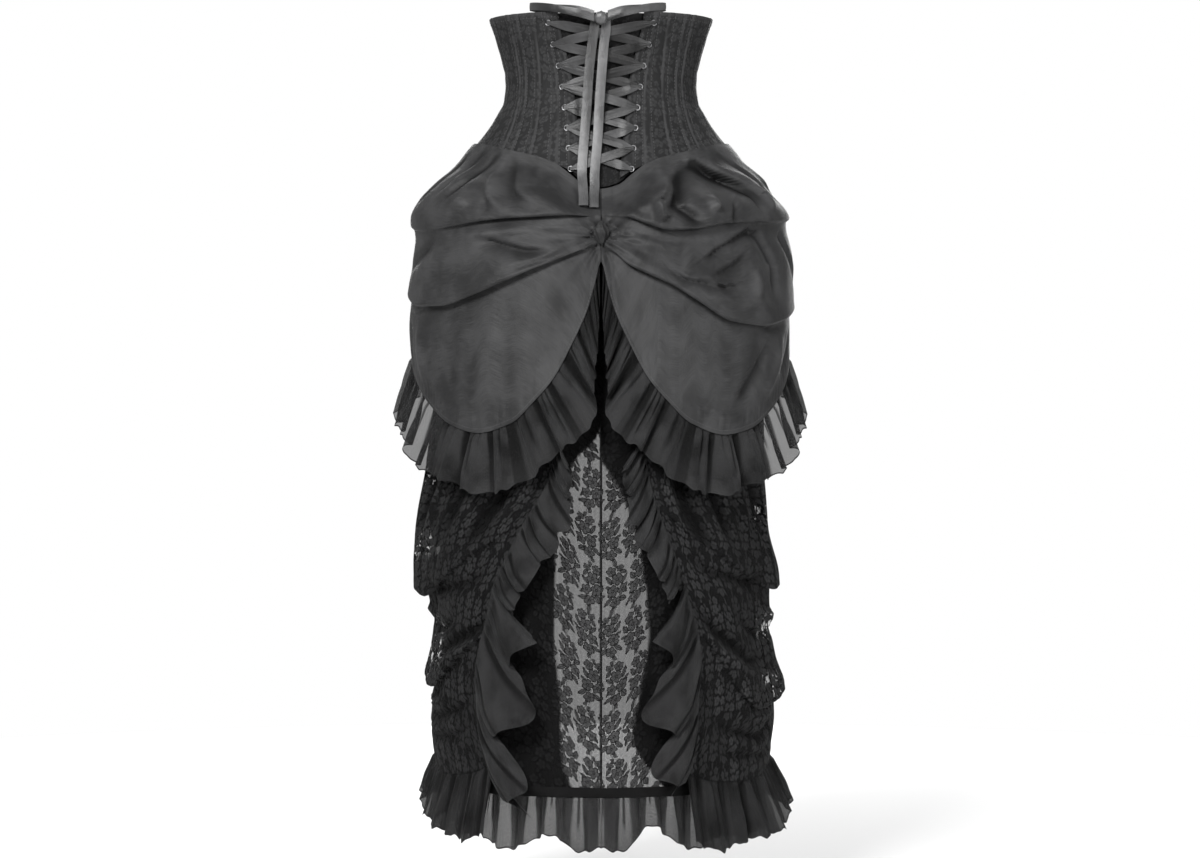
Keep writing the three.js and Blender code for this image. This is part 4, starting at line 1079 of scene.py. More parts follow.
overskirtSwells = {
    left: [(24, -140, 7, 26, 4), (36, -136, 6, 26, -4), (52, -142, 9, 24, 4), (90, -165, 26, 34, 4),
           (90, -310, 26, 50, 4)],
    right: [(21, -158, 6, 26, 6), (40, -134, 10, 24, -12), (60, -150, 12, 26, 3), (90, -140, 24, 18, -8),
            (90, -230, 26, 34, 5)],
}
overskirtCreases = {
    left: {
        None: [
            (-11, (7, 9), (1, 0.2), (45, -92), (49, -112), (53, -136), (60, -158)),
            (9, 7, (0.8, 0.3), (41, -96), (40, -124), (36, -150), (30, -174)),
            (-9, (5, 8), (1, 0.2), (37, -98), (33, -126), (27, -156), (20, -172)),
            (5, 3.5, (1, 0), (33, -102), (29, -120), (25, -134)),
            (-5, (4, 7), (1, 0), (30, -104), (24, -128), (16, -150)),
            (6, 11, (0, 0), (47, -150), (46, -170)),
            (-4, 5, (0.3, 1), (38, -156), (36, -172)),
            (-7, (5, 9), (1, 0), (57, -92), (62, -118), (68, -152)),
            (5, 5, (1, 0), (52, -92), (56, -112), (62, -132)),
            (-7, (6, 11), (1, 0), (72, -90), (76, -122), (84, -158)),
            (-6, (5, 9), (1, 0), (88, -90), (92, -126), (104, -158)),
        ],
        1: [
            (4, (7, 5), (0, 0), (14, -196), (26, -200), (40, -203), (52, -198)),
            (-9, (3.5, 12), (0, 0), (44, -205), (34, -213), (23, -225), (12, -228)),
            (3, 8, (1, 0), (6, -188), (22, -192), (42, -205), (70, -206)),
            (-4, (4, 6), (1, 0), (3, -207), (15, -236), (32, -254)),
            (2.4, 4, (1, 0), (3, -210), (10, -240), (22, -252)),
            (5, 12, (0, 0), (48, -210), (60, -236), (76, -252)),
            (-6, (5, 9), (0, 0), (58, -205), (74, -226), (92, -240)),
            (-5, (5, 8), (0, 0), (84, -196), (96, -222), (112, -232)),
        ],
        2: [
            (-4, 16, (0, 0), (6, -250), (12, -320), (22, -396)),
            (4, 18, (0, 0), (30, -286), (36, -360), (40, -436)),
            (-5, (14, 10), (0, 0), (46, -330), (52, -370), (50, -410)),
            (5, 13, (0, 0), (68, -300), (70, -350), (66, -400)),
            (-5, (8, 10), (0, 0), (80, -300), (84, -340), (82, -380)),
            (-4, 9, (1, 0.4), (92, -280), (95, -330), (97, -350)),
            (-1.8, 7, (0, 0), (34, -428), (46, -420), (58, -408)),
            (1.2, 4, (0, 0), (38, -438), (52, -432), (66, -408)),
            (-2.4, (3, 7), (0, 0), (62, -292), (76, -300), (88, -292)),
        ],
    },
    right: {
        None: [
            (15, (9, 4.5), (0.8, 0.9), (38, -104), (24, -122), (16, -160), (17, -184)),
            (-15, (7, 9), (0.5, 0.7), (33, -112), (26, -138), (22, -168), (28, -184)),
            (-30, (5, 15), (0.9, 0.3), (38, -106), (46, -121), (59, -144)),
            (5, 4, (1, 0), (42, -98), (50, -112), (66, -132)),
            (12, 7, (0, 0), (34, -150), (36, -176)),
            (-6, 5, (0.2, 1), (45, -160), (43, -182)),
            (7, 8, (0, 0), (60, -129), (64, -150), (64, -172)),
            (-7, (5, 6), (0, 0), (53, -134), (56, -152), (56, -174)),
            (-7, (5, 9), (1, 0), (56, -96), (70, -122), (78, -160)),
            (5, (5, 9), (1, 0), (72, -92), (84, -120), (92, -150)),
            (4, 7, (1, 0), (94, -90), (98, -120), (106, -150)),
            (-4, 5, (0, 0), (2, -160), (9, -170), (14, -182)),
            (-3, 3.5, (1, 0), (4, -150), (12, -145), (14, -138)),
            (-5, 7, (1, 0.2), (0, -181), (6, -200), (13, -237)),
        ],
        1: [
            (-9, (4, 10), (1, 0.3), (52, -196), (38, -222), (27, -250)),
            (-6, (4, 8), (0, 0), (52, -218), (42, -244), (32, -260)),
            (5, 6, (0, 0), (46, -210), (35, -236), (28, -246)),
            (-6, (2.5, 7), (0.2, 0.3), (17, -240), (25, -262), (38, -270), (47, -263)),
            (-2.4, 2.2, (0, 0), (26, -262), (36, -262), (46, -253)),
            (2.2, 2.4, (0, 0), (30, -268), (40, -266), (48, -258)),
            (-1.8, 2, (0, 0), (33, -256), (44, -248)),
            (3, 5, (0, 0), (26, -277), (40, -286), (60, -292)),
            (-8, (6, 10), (1, 0.2), (56, -200), (62, -236), (60, -280)),
            (5, 7, (0, 0), (50, -232), (52, -264), (50, -290)),
            (-6, (5, 9), (1, 0), (72, -200), (82, -236), (92, -262)),
            (-3, 7, (0, 0), (96, -196), (100, -226), (108, -246)),
        ],
        2: [
            (-3.5, 12, (0.7, 0), (6, -262), (10, -320), (18, -386)),
            (3, 20, (0, 0), (26, -316), (30, -370), (36, -436)),
            (-7, (7, 12), (0, 0), (62, -326), (55, -370), (42, -430)),
            (5, 9, (0, 0), (72, -320), (66, -370), (56, -418)),
            (-6, (6, 9), (0, 0), (84, -310), (78, -350), (70, -390)),
            (-5, (3, 7), (0, 0), (50, -312), (62, -318), (74, -314)),
            (-2, 5, (0, 0), (24, -402), (34, -424), (48, -424)),
            (1.4, 3.5, (0, 0), (22, -408), (34, -434), (52, -434)),
            (-2.5, 8, (1, 0.5), (104, -290), (106, -330)),
        ],
    },
}
tuckRows = [(5, 0, 0.97), (0, 0, 1), (-3, 0, 0.78), (-4.5, 1, 0.44), (-6.5, 1.08, 0.1), (-13, 0, 0)]
tuckLift = {"from": 7.5, "times": 1.7}


def tuckedRows(top, folds, at, layers, swellPower):
    # Rows of a cloth with two tucks, from its top to its hem: each row's height, how far it
    # stands out, and its layer
    hem = folds("hem", at)
    rows = []
    start = top
    for number in (0, 1):
        fold, deep = folds(f"fold{number + 1}", at), folds(f"deep{number + 1}", at)
        for k in range(layers[number]):
            t = k / layers[number]
            rows.append((mix(start, fold + tuckRows[0][0], t), deep * t ** swellPower, number))
        lift = np.maximum(0, deep - tuckLift["from"]) * tuckLift["times"]
        for drop, back, out in tuckRows:
            rows.append((fold + drop + lift * back, deep * out, number if out > 0.6 else number + 1))
        start = fold + tuckRows[-1][0] - 3
    strip = hem + sewn["overlap"]
    last = layers[2]
    rows += [(mix(start, strip, k / last), 0, 2) for k in range(last + 1)]
    rows.append((hem, 0, 2))
    columns = [[np.broadcast_to(value, hem.shape) for value in column] for column in zip(*rows)]
    return [np.stack(column, -1).astype(float) for column in columns]


def finer(heights, outs, numbers, longest=3.6):
    # more rows between the given ones, on curves that don't overshoot them
    step = np.maximum(np.hypot(np.diff(heights, axis=1), np.diff(outs, axis=1)), 1e-3)
    counts = np.clip(np.ceil(step.mean(0) / longest), 2, 8).astype(int)

    def refined(values):
        steep = np.diff(values, axis=1) / step
        slope = np.concatenate([steep[:, :1], gentle(steep), steep[:, -1:]], axis=1)
        parts = []
        for k, count in enumerate(counts):
            low, high, slopeLow, slopeHigh = (v[:, None] for v in (*values.T[k:k + 2], *slope.T[k:k + 2]))
            parts.append(eased(low, high, slopeLow, slopeHigh, step[:, k:k + 1], np.arange(count) / count))
        return np.concatenate(parts + [values[:, -1:]], axis=1)

    layer = [np.repeat(numbers[:, k:k + 1], count, axis=1) for k, count in enumerate(counts)]
    return refined(heights), refined(outs), np.concatenate(layer + [numbers[:, -1:]], axis=1)


def overskirtPoint(angle, z, out):
    depth = overskirt["gatherDepth"] * hump(angle, overskirt["gatherWide"])
    depth = depth * hump(z - overskirt["gatherHeight"], overskirt["gatherTall"])
    return onSkirt(overskirtRings, angle, z, out - depth, overCorset, overskirt["comesOut"])


gatherRay = {"radius": 190, "rise": 2.2, "counts": (13, 23), "clear": 4, "opens": 8, "fades": 38}


def gatherRays(side, angle, z):
    # small crinkles that run out from the gathered point
    u = np.radians(angle) * gatherRay["radius"]
    v = z - overskirt["gatherHeight"]
    far = np.hypot(u, v)
    turn = np.arctan2(v, u)
    first, second = gatherRay["counts"]
    ripple = np.cos(turn * first + 1.3 * side) + 0.6 * np.cos(turn * second + 2 * side)
    opened = smooth((far - gatherRay["clear"]) / gatherRay["opens"])
    return gatherRay["rise"] * ripple * opened * np.exp(-((far / gatherRay["fades"]) ** 1.5))


def overskirtPiece(node, at, angle, z, hem, out, values=None, hemColumn=60, stitchCount=260):
    # the cloth with its narrow hem, and a run of stitches along it
    grid = overskirtPoint(angle, z, out + overskirt["hemRib"] * hump(z - hem - 2, 1.8))
    piece = clothPiece(node, "taffeta", grid, overskirt["wall"], taffeta, values)
    row = np.interp(overskirt["hemHeight"], (z - hem)[hemColumn][::-1], np.arange(z.shape[1])[::-1])
    columns = np.linspace(2, len(at) - 2, stitchCount)
    stitchLines.append(pick(grid, columns, np.full(stitchCount, row)))
    declareSheet(piece)
    return {"at": at, "grid": grid, "wall": overskirt["wall"]}


def makeOverskirtSide(side):
    at = np.linspace(overskirt["centreGap"], overskirtEnd - overskirt["sideGap"], overskirt["columns"])
    near = overskirt["centreGap"] + np.linspace(0, 6, 10)[:-1]
    at = np.unique(np.concatenate([near, at[at > 6]]))
    folds = overskirtFolds[side]
    top, hem = (corsetLow("z", at) + sewn["overlap"])[:, None], folds("hem", at)[:, None]
    rows = tuckedRows(top[:, 0], folds, at, overskirt["layers"], overskirt["swell"])
    z, out, layer = finer(*rows)
    angle = at[:, None] + 0 * z
    for swellAngle, height, wide, tall, rise in overskirtSwells[side]:
        out = out + rise * hump(angle - swellAngle, wide) * hump(z - height, tall)
    inside = smooth((top - z) / 14) * smooth((z - hem) / 10)
    relief = creased(angle, z, overskirtCreases[side], layer) + gatherRays(side, angle, z)
    puckers = 0.7 * np.sin(angle * 2.9 + 1.7 * np.sin(angle * 0.7)) * hump(z - hem - 14, 11)
    topGathers = 0.8 * np.sin(angle * 2.3 + np.sin(angle * 0.9)) * hump(top - z - 12, 12)
    out = out + (relief + puckers + topGathers) * inside * smooth((overskirtEnd - angle) / 5)
    # painted shade in the troughs of the creases and painted highlight on their ridges
    hollow = (0.95 * smooth(-relief / 15) - 0.42 * smooth(relief / 11)) * inside
    return overskirtPiece(named("overskirt", side), at, side * angle, z, hem, out,
                          {"hollow": hollow})


def makeOverskirtFront():
    start = overskirtEnd + overskirt["sideGap"]
    at = np.linspace(start, 360 - start, overskirt["frontColumns"])
    top = (corsetLow("z", fromBack(at)) + sewn["overlap"])[:, None]
    hem = np.full(top.shape, float(overskirt["frontHem"]))
    down = np.linspace(0, 1, overskirt["frontRows"])[None, :]
    z = mix(top, hem, down)
    angle = at[:, None] + 0 * z
    fromSeam = np.minimum(angle, 360 - angle) - overskirtEnd
    belly = 5 * smooth(fromSeam / 25) * np.sin(np.minimum(down * 1.03, 1) * math.pi)
    turn = np.radians(angle)
    flutes = 1.6 * np.sin(turn * 17 + 0.6 * np.sin(turn * 5)) * smooth(fromSeam / 8)
    relief = creased(fromBack(angle), z, overskirtFrontCreases) * smooth(fromSeam / 5)
    relief = relief + flutes * np.sin(down * math.pi) ** 0.7
    return overskirtPiece("overskirt_front", at, angle, z, hem, belly + relief * smooth((z - hem) / 10),
                          hemColumn=50, stitchCount=180)


overskirtFrontCreases = {
    None: [
        (-3.5, (6, 10), (1, 0), (130, -90), (134, -130), (140, -176)),
        (-3.5, (6, 10), (1, 0), (146, -98), (148, -150), (154, -205)),
        (-3, 8, (1, 0), (163, -108), (165, -160), (168, -214)),
        (3, 14, (0, 0), (138, -110), (142, -190), (144, -290)),
        (3, 13, (0, 0), (157, -120), (160, -220), (160, -300)),
        (-2.5, (5, 9), (0, 0), (128, -200), (140, -232), (152, -244)),
        (-2.5, 10, (0, 0), (124, -290), (128, -240), (126, -180)),
    ],
}

skirtSides = {side: makeOverskirtSide(side) for side in (left, right)}
skirtFront = makeOverskirtFront()


def makeGatherKnot():
    def shape(turn, rise):
        folds = 0.16 * np.cos(turn * 6 + 1.6 * np.sin(rise * 2)) + 0.08 * np.cos(turn * 11 + rise * 4)
        return (1 + folds * np.cos(rise) ** 0.5) * (0.86 + 0.14 * np.cos(rise * 4))
    centre = (0, -170.4, overskirt["gatherHeight"] + 6)
    knot = blob("gather_knot_taffeta", centre, (9, 5, 15), shape, shadedKnotTaffeta)
    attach(claim(knot, "gather_knot"), "root")


makeGatherKnot()
print("overskirt made")


# Ruffles

def stripOf(carrier, at, face, depth=None):
    # the strip that a ruffle is sewn on: the hem's edge, and the line one overlap above it
    grid = carrier["grid"]
    if face == "inner":
        grid = grid - gridNormals(grid) * carrier["wall"]
    up = lengthsAlong(grid[:, ::-1], 1)
    columns = np.interp(at, carrier["at"], np.arange(len(grid)))
    lines = []
    for distance in (depth or sewn["overlap"], 0.0):
        line = np.stack([[np.interp(distance, up[i], column[::-1, k]) for k in range(3)]
                         for i, column in enumerate(grid)])
        lines.append(np.stack([np.interp(columns, np.arange(len(line)), line[:, k]) for k in range(3)], -1))
    return lines


def evenly(line, at, count):
    # places along the line, evenly spaced by its length
    run = np.concatenate([[0], np.cumsum(np.linalg.norm(np.diff(line, axis=0), axis=1))])
    return np.interp(np.linspace(0, run[-1], count), run, at)


straightDown = np.array([0, 0, -1.0])


def ruffleGrid(top, edge, out, hang, s, look):
    # flat on its strip, then opening in broad flutes with narrow troughs and finer gathers between
    rows = np.concatenate([[0], np.linspace(0, 1, look["rows"])])[None, :]
    phase = (2 * math.pi * look["waves"] * s + 0.6 * np.sin(s * 41) + 0.45 * np.sin(s * 97 + 1))[:, None]
    uneven = 0.74 + 0.26 * np.sin(phase * 0.37 + 1)
    flute = 1 - 2 * np.abs(np.sin(phase / 2)) ** look["narrow"]
    opened = smooth(rows * 1.3)
    length = 1 + 0.05 * np.sin(phase * 0.31) + 0.025 * np.sin(phase * 1.9 + 2) * opened
    fall = (look["width"](s)[:, None] - sewn["overlap"]) * rows * length
    fine = phase * 2.63 + 1.4 * np.sin(phase * 0.61)
    between = 1 - 2 * np.abs(np.sin(fine / 2)) ** 5
    reach = 0.45 + 0.35 * np.sin(phase * 0.83 + 2)
    gathers = 0.3 * between * smooth(rows * 12) * smooth((reach - rows) / 0.35 + 0.6)
    ripple = 0.17 * np.cos(phase * 2.13 + 1.1) * opened
    pinch = 0.42 * flute * smooth(rows * 9) * (1 - opened)
    wave = look["wave"] * (uneven * (opened * flute * 0.92 + ripple + pinch) + gathers)
    tight = smooth((look["foldAt"] - flute) / 0.6) * mix(1, 0.55, rows)
    tight = tight + 0.8 * smooth(-between) * smooth((reach - rows) / 0.4)
    stand = look["flare"](s)[:, None] * fall + wave
    grid = edge[:, None] + hang[:, None] * fall[..., None] + out[:, None] * stand[..., None]
    ends = smooth(np.minimum(s, 1 - s) * look["waves"])[:, None]
    lean = look["lean"] * np.sin(phase) * opened * uneven * ends
    grid = grid + unit(np.gradient(edge, axis=0))[:, None] * lean[..., None]
    grid[:, 0] = top
    return grid, fall, tight


def makeRuffle(node, fabric, strip, look, material, pliesAndShade):
    # the strip has its top and edge lines, the ways out and down, and the shares along it
    grid, fall, tight = ruffleGrid(*strip, look)
    # tight folds raise the plies: they thicken the gauze, and past two plies they paint shade on it
    values = {"pliesAndShade": pliesAndShade[:, None] + look["foldPlies"] * tight + 0 * fall, "fromHem": fall[:, -1:] - fall}
    piece = clothPiece(node, fabric, grid, look["wall"], material, values, look["fullness"])
    declareSheet(piece)


overskirtRuffleLook = {
    "waves": 16, "wave": 8, "narrow": 6, "lean": 2.2, "rows": 20, "wall": 0.35, "fullness": 1.35,
    "foldPlies": 0.8, "foldAt": -0.1, "columns": 540, "widest": 84,
    "room": wall["satin"] - overskirt["wall"] + sewn["layGap"] + 0.35,
    "width": lambda s: 80 - 4 * np.cos(s * 9),
    "flare": lambda s: 0.09 + 0.18 * smooth((s - 0.35) / 0.4),
}


def makeOverskirtRuffle(side):
    look = overskirtRuffleLook
    carrier = skirtSides[side]
    at = np.linspace(0.55, overskirtEnd - overskirt["sideGap"], 400)
    at = evenly(stripOf(carrier, at, "inner")[1], at, look["columns"])
    top, edge = stripOf(carrier, at, "inner")
    out = outwards(side * at)
    top, edge = top - out * look["room"], edge - out * look["room"]
    s = np.linspace(0, 1, len(at))
    along = unit(np.gradient(edge, axis=0))
    square = unit(np.cross(along, out))
    square *= np.where(square[:, 2:] > 0, -1, 1)
    share = (0.6 * (1 - smooth((s - 0.6) / 0.3)))[:, None]
    hang = unit(mix(straightDown, square, share))
    space = np.maximum(np.abs(edge[:, 0]) - 1.2, 0) / look["widest"]  # it stays on its side of the centre
    hang[:, 0] = side * np.maximum(side * hang[:, 0], -space)
    # the last term is painted shade on the ruffle near the centre back
    pliesAndShade = 2 - smooth((at - 50) / 8) + 0.5 * (1 - smooth(at / 14))
    makeRuffle(named("overskirt_ruffle", side), "chiffon", (top, edge, out, hang, s), look, chiffon,
               pliesAndShade)


def makeFrontRuffle():
    look = {**overskirtRuffleLook, "waves": 10, "columns": 300, "width": lambda s: 80 + 0 * s,
            "flare": lambda s: 0.16 + 0 * s}
    start = overskirtEnd + overskirt["sideGap"]
    at = np.linspace(start, 360 - start, look["columns"])
    top, edge = stripOf(skirtFront, at, "inner")
    out = outwards(at)
    s = np.linspace(0, 1, len(at))
    strip = (top - out * look["room"], edge - out * look["room"], out, np.tile(straightDown, (len(at), 1)), s)
    pliesAndShade = 1 + smooth((np.minimum(s, 1 - s) - 0.1) / 0.1)
    makeRuffle("overskirt_ruffle_front", "chiffon", strip, look, chiffon, pliesAndShade)


for side in (left, right):
    makeOverskirtRuffle(side)
makeFrontRuffle()
print("overskirt ruffles made")


# The long lace skirt, open in front

longSkirt = {"hem": -903, "bandHeight": 14, "seam": 46, "seamGap": 0.1, "wall": 0.5, "rows": 120,
             "backColumns": 40, "sideColumns": 66, "comesOut": 55, "topClear": 14, "topAt": -140, "topTall": 32}


def laceFold(angle, z):
    deep = smooth((-z - 250) / 300)
    broad = 3 * np.sin(angle * 0.21 + 0.6) * np.cos(angle * 0.075)
    return deep * (broad + 0.8 * np.sin(angle * 0.62 + 0.4 * np.sin(z * 0.008)) * smooth((-z - 420) / 200))


def lacePoint(angle, z, out):
    onCorset = out - underCorset
    # its hidden top keeps clear of the hollows in the swags
    out = out - longSkirt["topClear"] * hump(z - longSkirt["topAt"], longSkirt["topTall"])
    return onSkirt(laceRings, angle, z, out + laceFold(angle, z), onCorset, longSkirt["comesOut"])


# How far from the centre back the single lace reaches; past it the lace is drawn as two plies, more opaque and
# with a painted shade on its colour
singleLace = {
    left: table(["z", "angle"], [
        [-430, -2], [-462, 2], [-490, 10], [-600, 16], [-700, 16.5], [-790, 14], [-860, 13], [-903, 9]]),
    right: table(["z", "angle"], [
        [-430, -2], [-480, -1], [-520, 6], [-600, 14], [-700, 17], [-780, 13], [-830, 10.5], [-903, 22]]),
}


def makeLacePanel(side, part, start, end, count):
    at = np.linspace(start, end, count)[:, None]
    top = corsetLow("z", at) + sewn["overlap"]
    down = np.linspace(0, 1, longSkirt["rows"])[None, :]
    z = mix(top, float(longSkirt["hem"]), down)
    grid = lacePoint(side * at + 0 * z, z, 0.0)
    across = lengthsAlong(grid, 0)
    fromCentre = across + (0.9 if part == "back" else 0)
    # past the single lace the plies rise to two: more opaque, and with painted shade
    doubled = smooth((at - singleLace[side]("angle", z)) / 1.5) * smooth((75 - at) / 8)
    values = {"fromSeam": np.minimum(fromCentre, across[-1:] - across), "pliesAndShade": 1 + doubled,
              "open": smooth((at - 70) / 8) * smooth((-z - 400) / 40)}
    places = clothPlaces(grid) * [side, 1] + [0.0, 0.007 * side]
    piece = clothPiece(named(f"lace_{part}", side), "lace", grid, longSkirt["wall"], skirtLace,
                       values, places=places)
    declareSheet(piece)
    return {"at": at[:, 0], "grid": grid, "wall": longSkirt["wall"]}


def joined(carriers):
    # two panels as one carrier, for the band and the ruffle that run over both
    both = {key: np.concatenate([c[key] for c in carriers]) for key in ("at", "grid")}
    return {**both, "wall": carriers[0]["wall"]}


hemBand = {"columns": 150, "lines": 7, "top": 0.08, "foot": 0.94, "stand": 1.1, "swell": 0.5, "wall": 0.8}


def makeHemBand(side, carrier):
    at = np.linspace(0.0, skirtFrontEdge, hemBand["columns"])
    top, edge = stripOf(carrier, at, "outer", longSkirt["bandHeight"])
    out = outwards(side * at) * (sewn["layGap"] + hemBand["stand"])
    share = np.linspace(hemBand["top"], hemBand["foot"], hemBand["lines"])[None, :, None]
    swell = hemBand["swell"] * np.cos(np.linspace(-1, 1, hemBand["lines"]) * math.pi / 2)[None, :, None]
    grid = mix(top[:, None], edge[:, None], share) + out[:, None] * (1 + swell)
    piece = clothPiece(named("hem_band", side), "cloth", grid, hemBand["wall"], binding)
    declareSheet(piece)


hemRuffleLook = {
    left: {"dip": 8, "side": 20}, right: {"dip": 20, "side": 4},
    "waves": 15, "wave": 6, "narrow": 1.6, "lean": 3.5, "rows": 14, "wall": 0.3, "fullness": 1.4,
    "foldPlies": 1.0, "foldAt": 0.4, "columns": 560,
    "room": wall["lace"] - longSkirt["wall"] + sewn["layGap"] + 0.3,
    "flare": lambda s: 0.1 + 0 * s,
}


def makeHemRuffle(side, carrier):
    look = hemRuffleLook
    dip, short = look[side]["dip"], look[side]["side"]
    look = {**look, "width": lambda s: 68 + 4 * np.sin(s * 31) - dip * hump(s - 0.13, 0.05)
            - short * smooth((s - 0.35) / 0.2)}
    s = np.linspace(0, 1, look["columns"])
    at = mix(0.0, skirtFrontEdge, s)
    top, edge = stripOf(carrier, at, "inner", longSkirt["bandHeight"])
    out = outwards(side * at)
    room = out * look["room"]
    strip = (mix(top, edge, 0.4) - room, edge - room, out, np.tile(straightDown, (len(at), 1)), s)
    makeRuffle(named("hem_ruffle", side), "net", strip, look, hemNet, 1 + 0 * s)


for side in (left, right):
    seam, gap = longSkirt["seam"], longSkirt["seamGap"]
    whole = joined([makeLacePanel(side, "back", 0.0, seam - gap, longSkirt["backColumns"]),
                    makeLacePanel(side, "side", seam + gap, skirtFrontEdge, longSkirt["sideColumns"])])
    makeHemBand(side, whole)
    makeHemRuffle(side, whole)
print("lace skirt made")


# Looped-up drapes at the sides, with cascades down their inner edges

drapes = {"top": -214, "columns": 90, "layers": [22, 9, 7], "longest": 5.4, "swell": 2.5, "comesOut": 60,
          "lift": 0.5, "wall": 0.5}
drapeEdge = {
    left: table(["z", "angle"], [
        [-210, 12], [-430, 12], [-500, 14], [-572, 24], [-646, 35], [-762, 45], [-811, 42], [-880, 36]]),
    right: table(["z", "angle"], [
        [-210, 12], [-430, 12], [-504, 14], [-590, 22], [-647, 27], [-734, 33], [-784, 31], [-885, 28]]),
}
drapeNames = ["across", "fold1", "deep1", "fold2", "deep2", "hem"]
drapeFolds = {
    left: table(drapeNames, [
        [0, -560, 1, -700, 1, -862], [0.12, -590, 5, -730, 6, -876], [0.3, -640, 10, -772, 13, -884],
        [0.5, -660, 15, -776, 14, -876], [0.64, -646, 18, -762, 13, -866], [0.8, -620, 12, -745, 10, -866],
        [1, -600, 5, -730, 5, -872]]),
    right: table(drapeNames, [
        [0, -540, 1, -690, 1, -876], [0.12, -580, 4, -740, 5, -886], [0.3, -628, 8, -798, 13, -890],
        [0.5, -650, 12, -792, 16, -880], [0.64, -642, 15, -770, 17, -868], [0.8, -618, 11, -756, 12, -868],
        [1, -600, 5, -750, 5, -872]]),
}
drapeCreases = {
    left: {
        0: [
            (-10.8, (8, 12), (0, 0), (30, -470), (36, -540), (52, -610)),
            (7.2, 10, (0, 0), (20, -440), (26, -520), (40, -590)),
            (-10.8, (7, 11), (0, 0), (44, -430), (50, -520), (64, -600)),
            (7.2, 9, (0, 0), (57, -430), (62, -510), (76, -590)),
            (-9, (6, 10), (0, 0), (70, -440), (74, -520), (84, -600)),
            (-9, (7, 9), (0, 0), (90, -440), (92, -520), (96, -590)),
            (-7.2, 8, (0, 0), (108, -430), (110, -510), (112, -580)),
        ],
        None: [
            (-7.2, (4, 9), (0, 0), (34, -612), (48, -640), (66, -650), (86, -630)),
        ],
        1: [
            (-9, (5, 10), (0, 0), (36, -664), (48, -700), (66, -726), (84, -718)),
            (6.3, 7, (0, 0), (40, -690), (52, -726), (66, -744)),
            (-7.2, (4, 8), (0, 0), (52, -668), (64, -696), (80, -704), (98, -690)),
            (5.4, 6, (0, 0), (70, -676), (84, -686), (104, -670)),
        ],
        2: [
            (-7.2, (4, 8), (0, 0), (46, -770), (56, -800), (72, -816), (92, -800)),
            (-6.3, (4, 8), (0, 0), (44, -800), (56, -832), (76, -842), (98, -824)),
            (5.4, 5, (0, 0), (60, -790), (78, -800), (100, -786)),
        ],
    },
    right: {
        0: [
            (-10.8, (8, 12), (0, 0), (24, -470), (32, -550), (44, -616)),
            (7.2, 9, (0, 0), (18, -450), (24, -530), (32, -590)),
            (-10.8, (7, 11), (0, 0), (38, -440), (42, -530), (54, -610)),
            (9, 8, (0, 0), (50, -440), (54, -520), (64, -600)),
            (-10.8, (6, 10), (0, 0), (62, -430), (66, -520), (76, -610)),
            (-9, (7, 9), (0, 0), (84, -440), (86, -520), (90, -600)),
            (-7.2, 8, (0, 0), (102, -430), (104, -510), (108, -590)),
        ],
        None: [
            (-7.2, (4, 9), (0, 0), (28, -590), (40, -626), (58, -640), (78, -626)),
        ],
        1: [
            (-9, (5, 10), (0, 0), (30, -650), (42, -700), (58, -740), (78, -736)),
            (6.3, 7, (0, 0), (34, -690), (44, -730), (58, -764)),
            (-7.2, (4, 8), (0, 0), (46, -664), (60, -700), (76, -712), (96, -696)),
            (5.4, 6, (0, 0), (64, -672), (80, -690), (102, -676)),
        ],
        2: [
            (-7.2, (4, 8), (0, 0), (34, -790), (46, -824), (64, -838), (88, -816)),
            (5.4, 5, (0, 0), (40, -776), (52, -806), (70, -816), (90, -796)),
            (-5.4, (4, 7), (0, 0), (36, -836), (50, -858), (70, -862), (90, -846)),
        ],
    },
}


# Places (angle, z, wide, tall) where one ply of the drape stands against the light
drapeOpen = {
    left: [(94, -488, 34, 50), (94, -596, 32, 26), (94, -735, 30, 46)],
    right: [(94, -560, 30, 34), (94, -700, 30, 34), (94, -778, 30, 24)],
}


def drapeFold(side, angle, z):
    deep = 3.5 * smooth((-z - 380) / 120) * (1 - 0.8 * smooth((-z - 790) / 70))
    return deep * np.sin(angle * (0.17 if side == left else 0.195) + z * 0.012)


def drapePoint(side, angle, z, out):
    leave = smooth((drapes["top"] - z) / drapes["comesOut"])[..., None]
    near = lacePoint(side * angle, z, out + wall["lace"] + sewn["layGap"] + drapes["lift"])
    return mix(near, onRing(drapeRings[side], side * angle, z, out + drapeFold(side, angle, z)), leave)


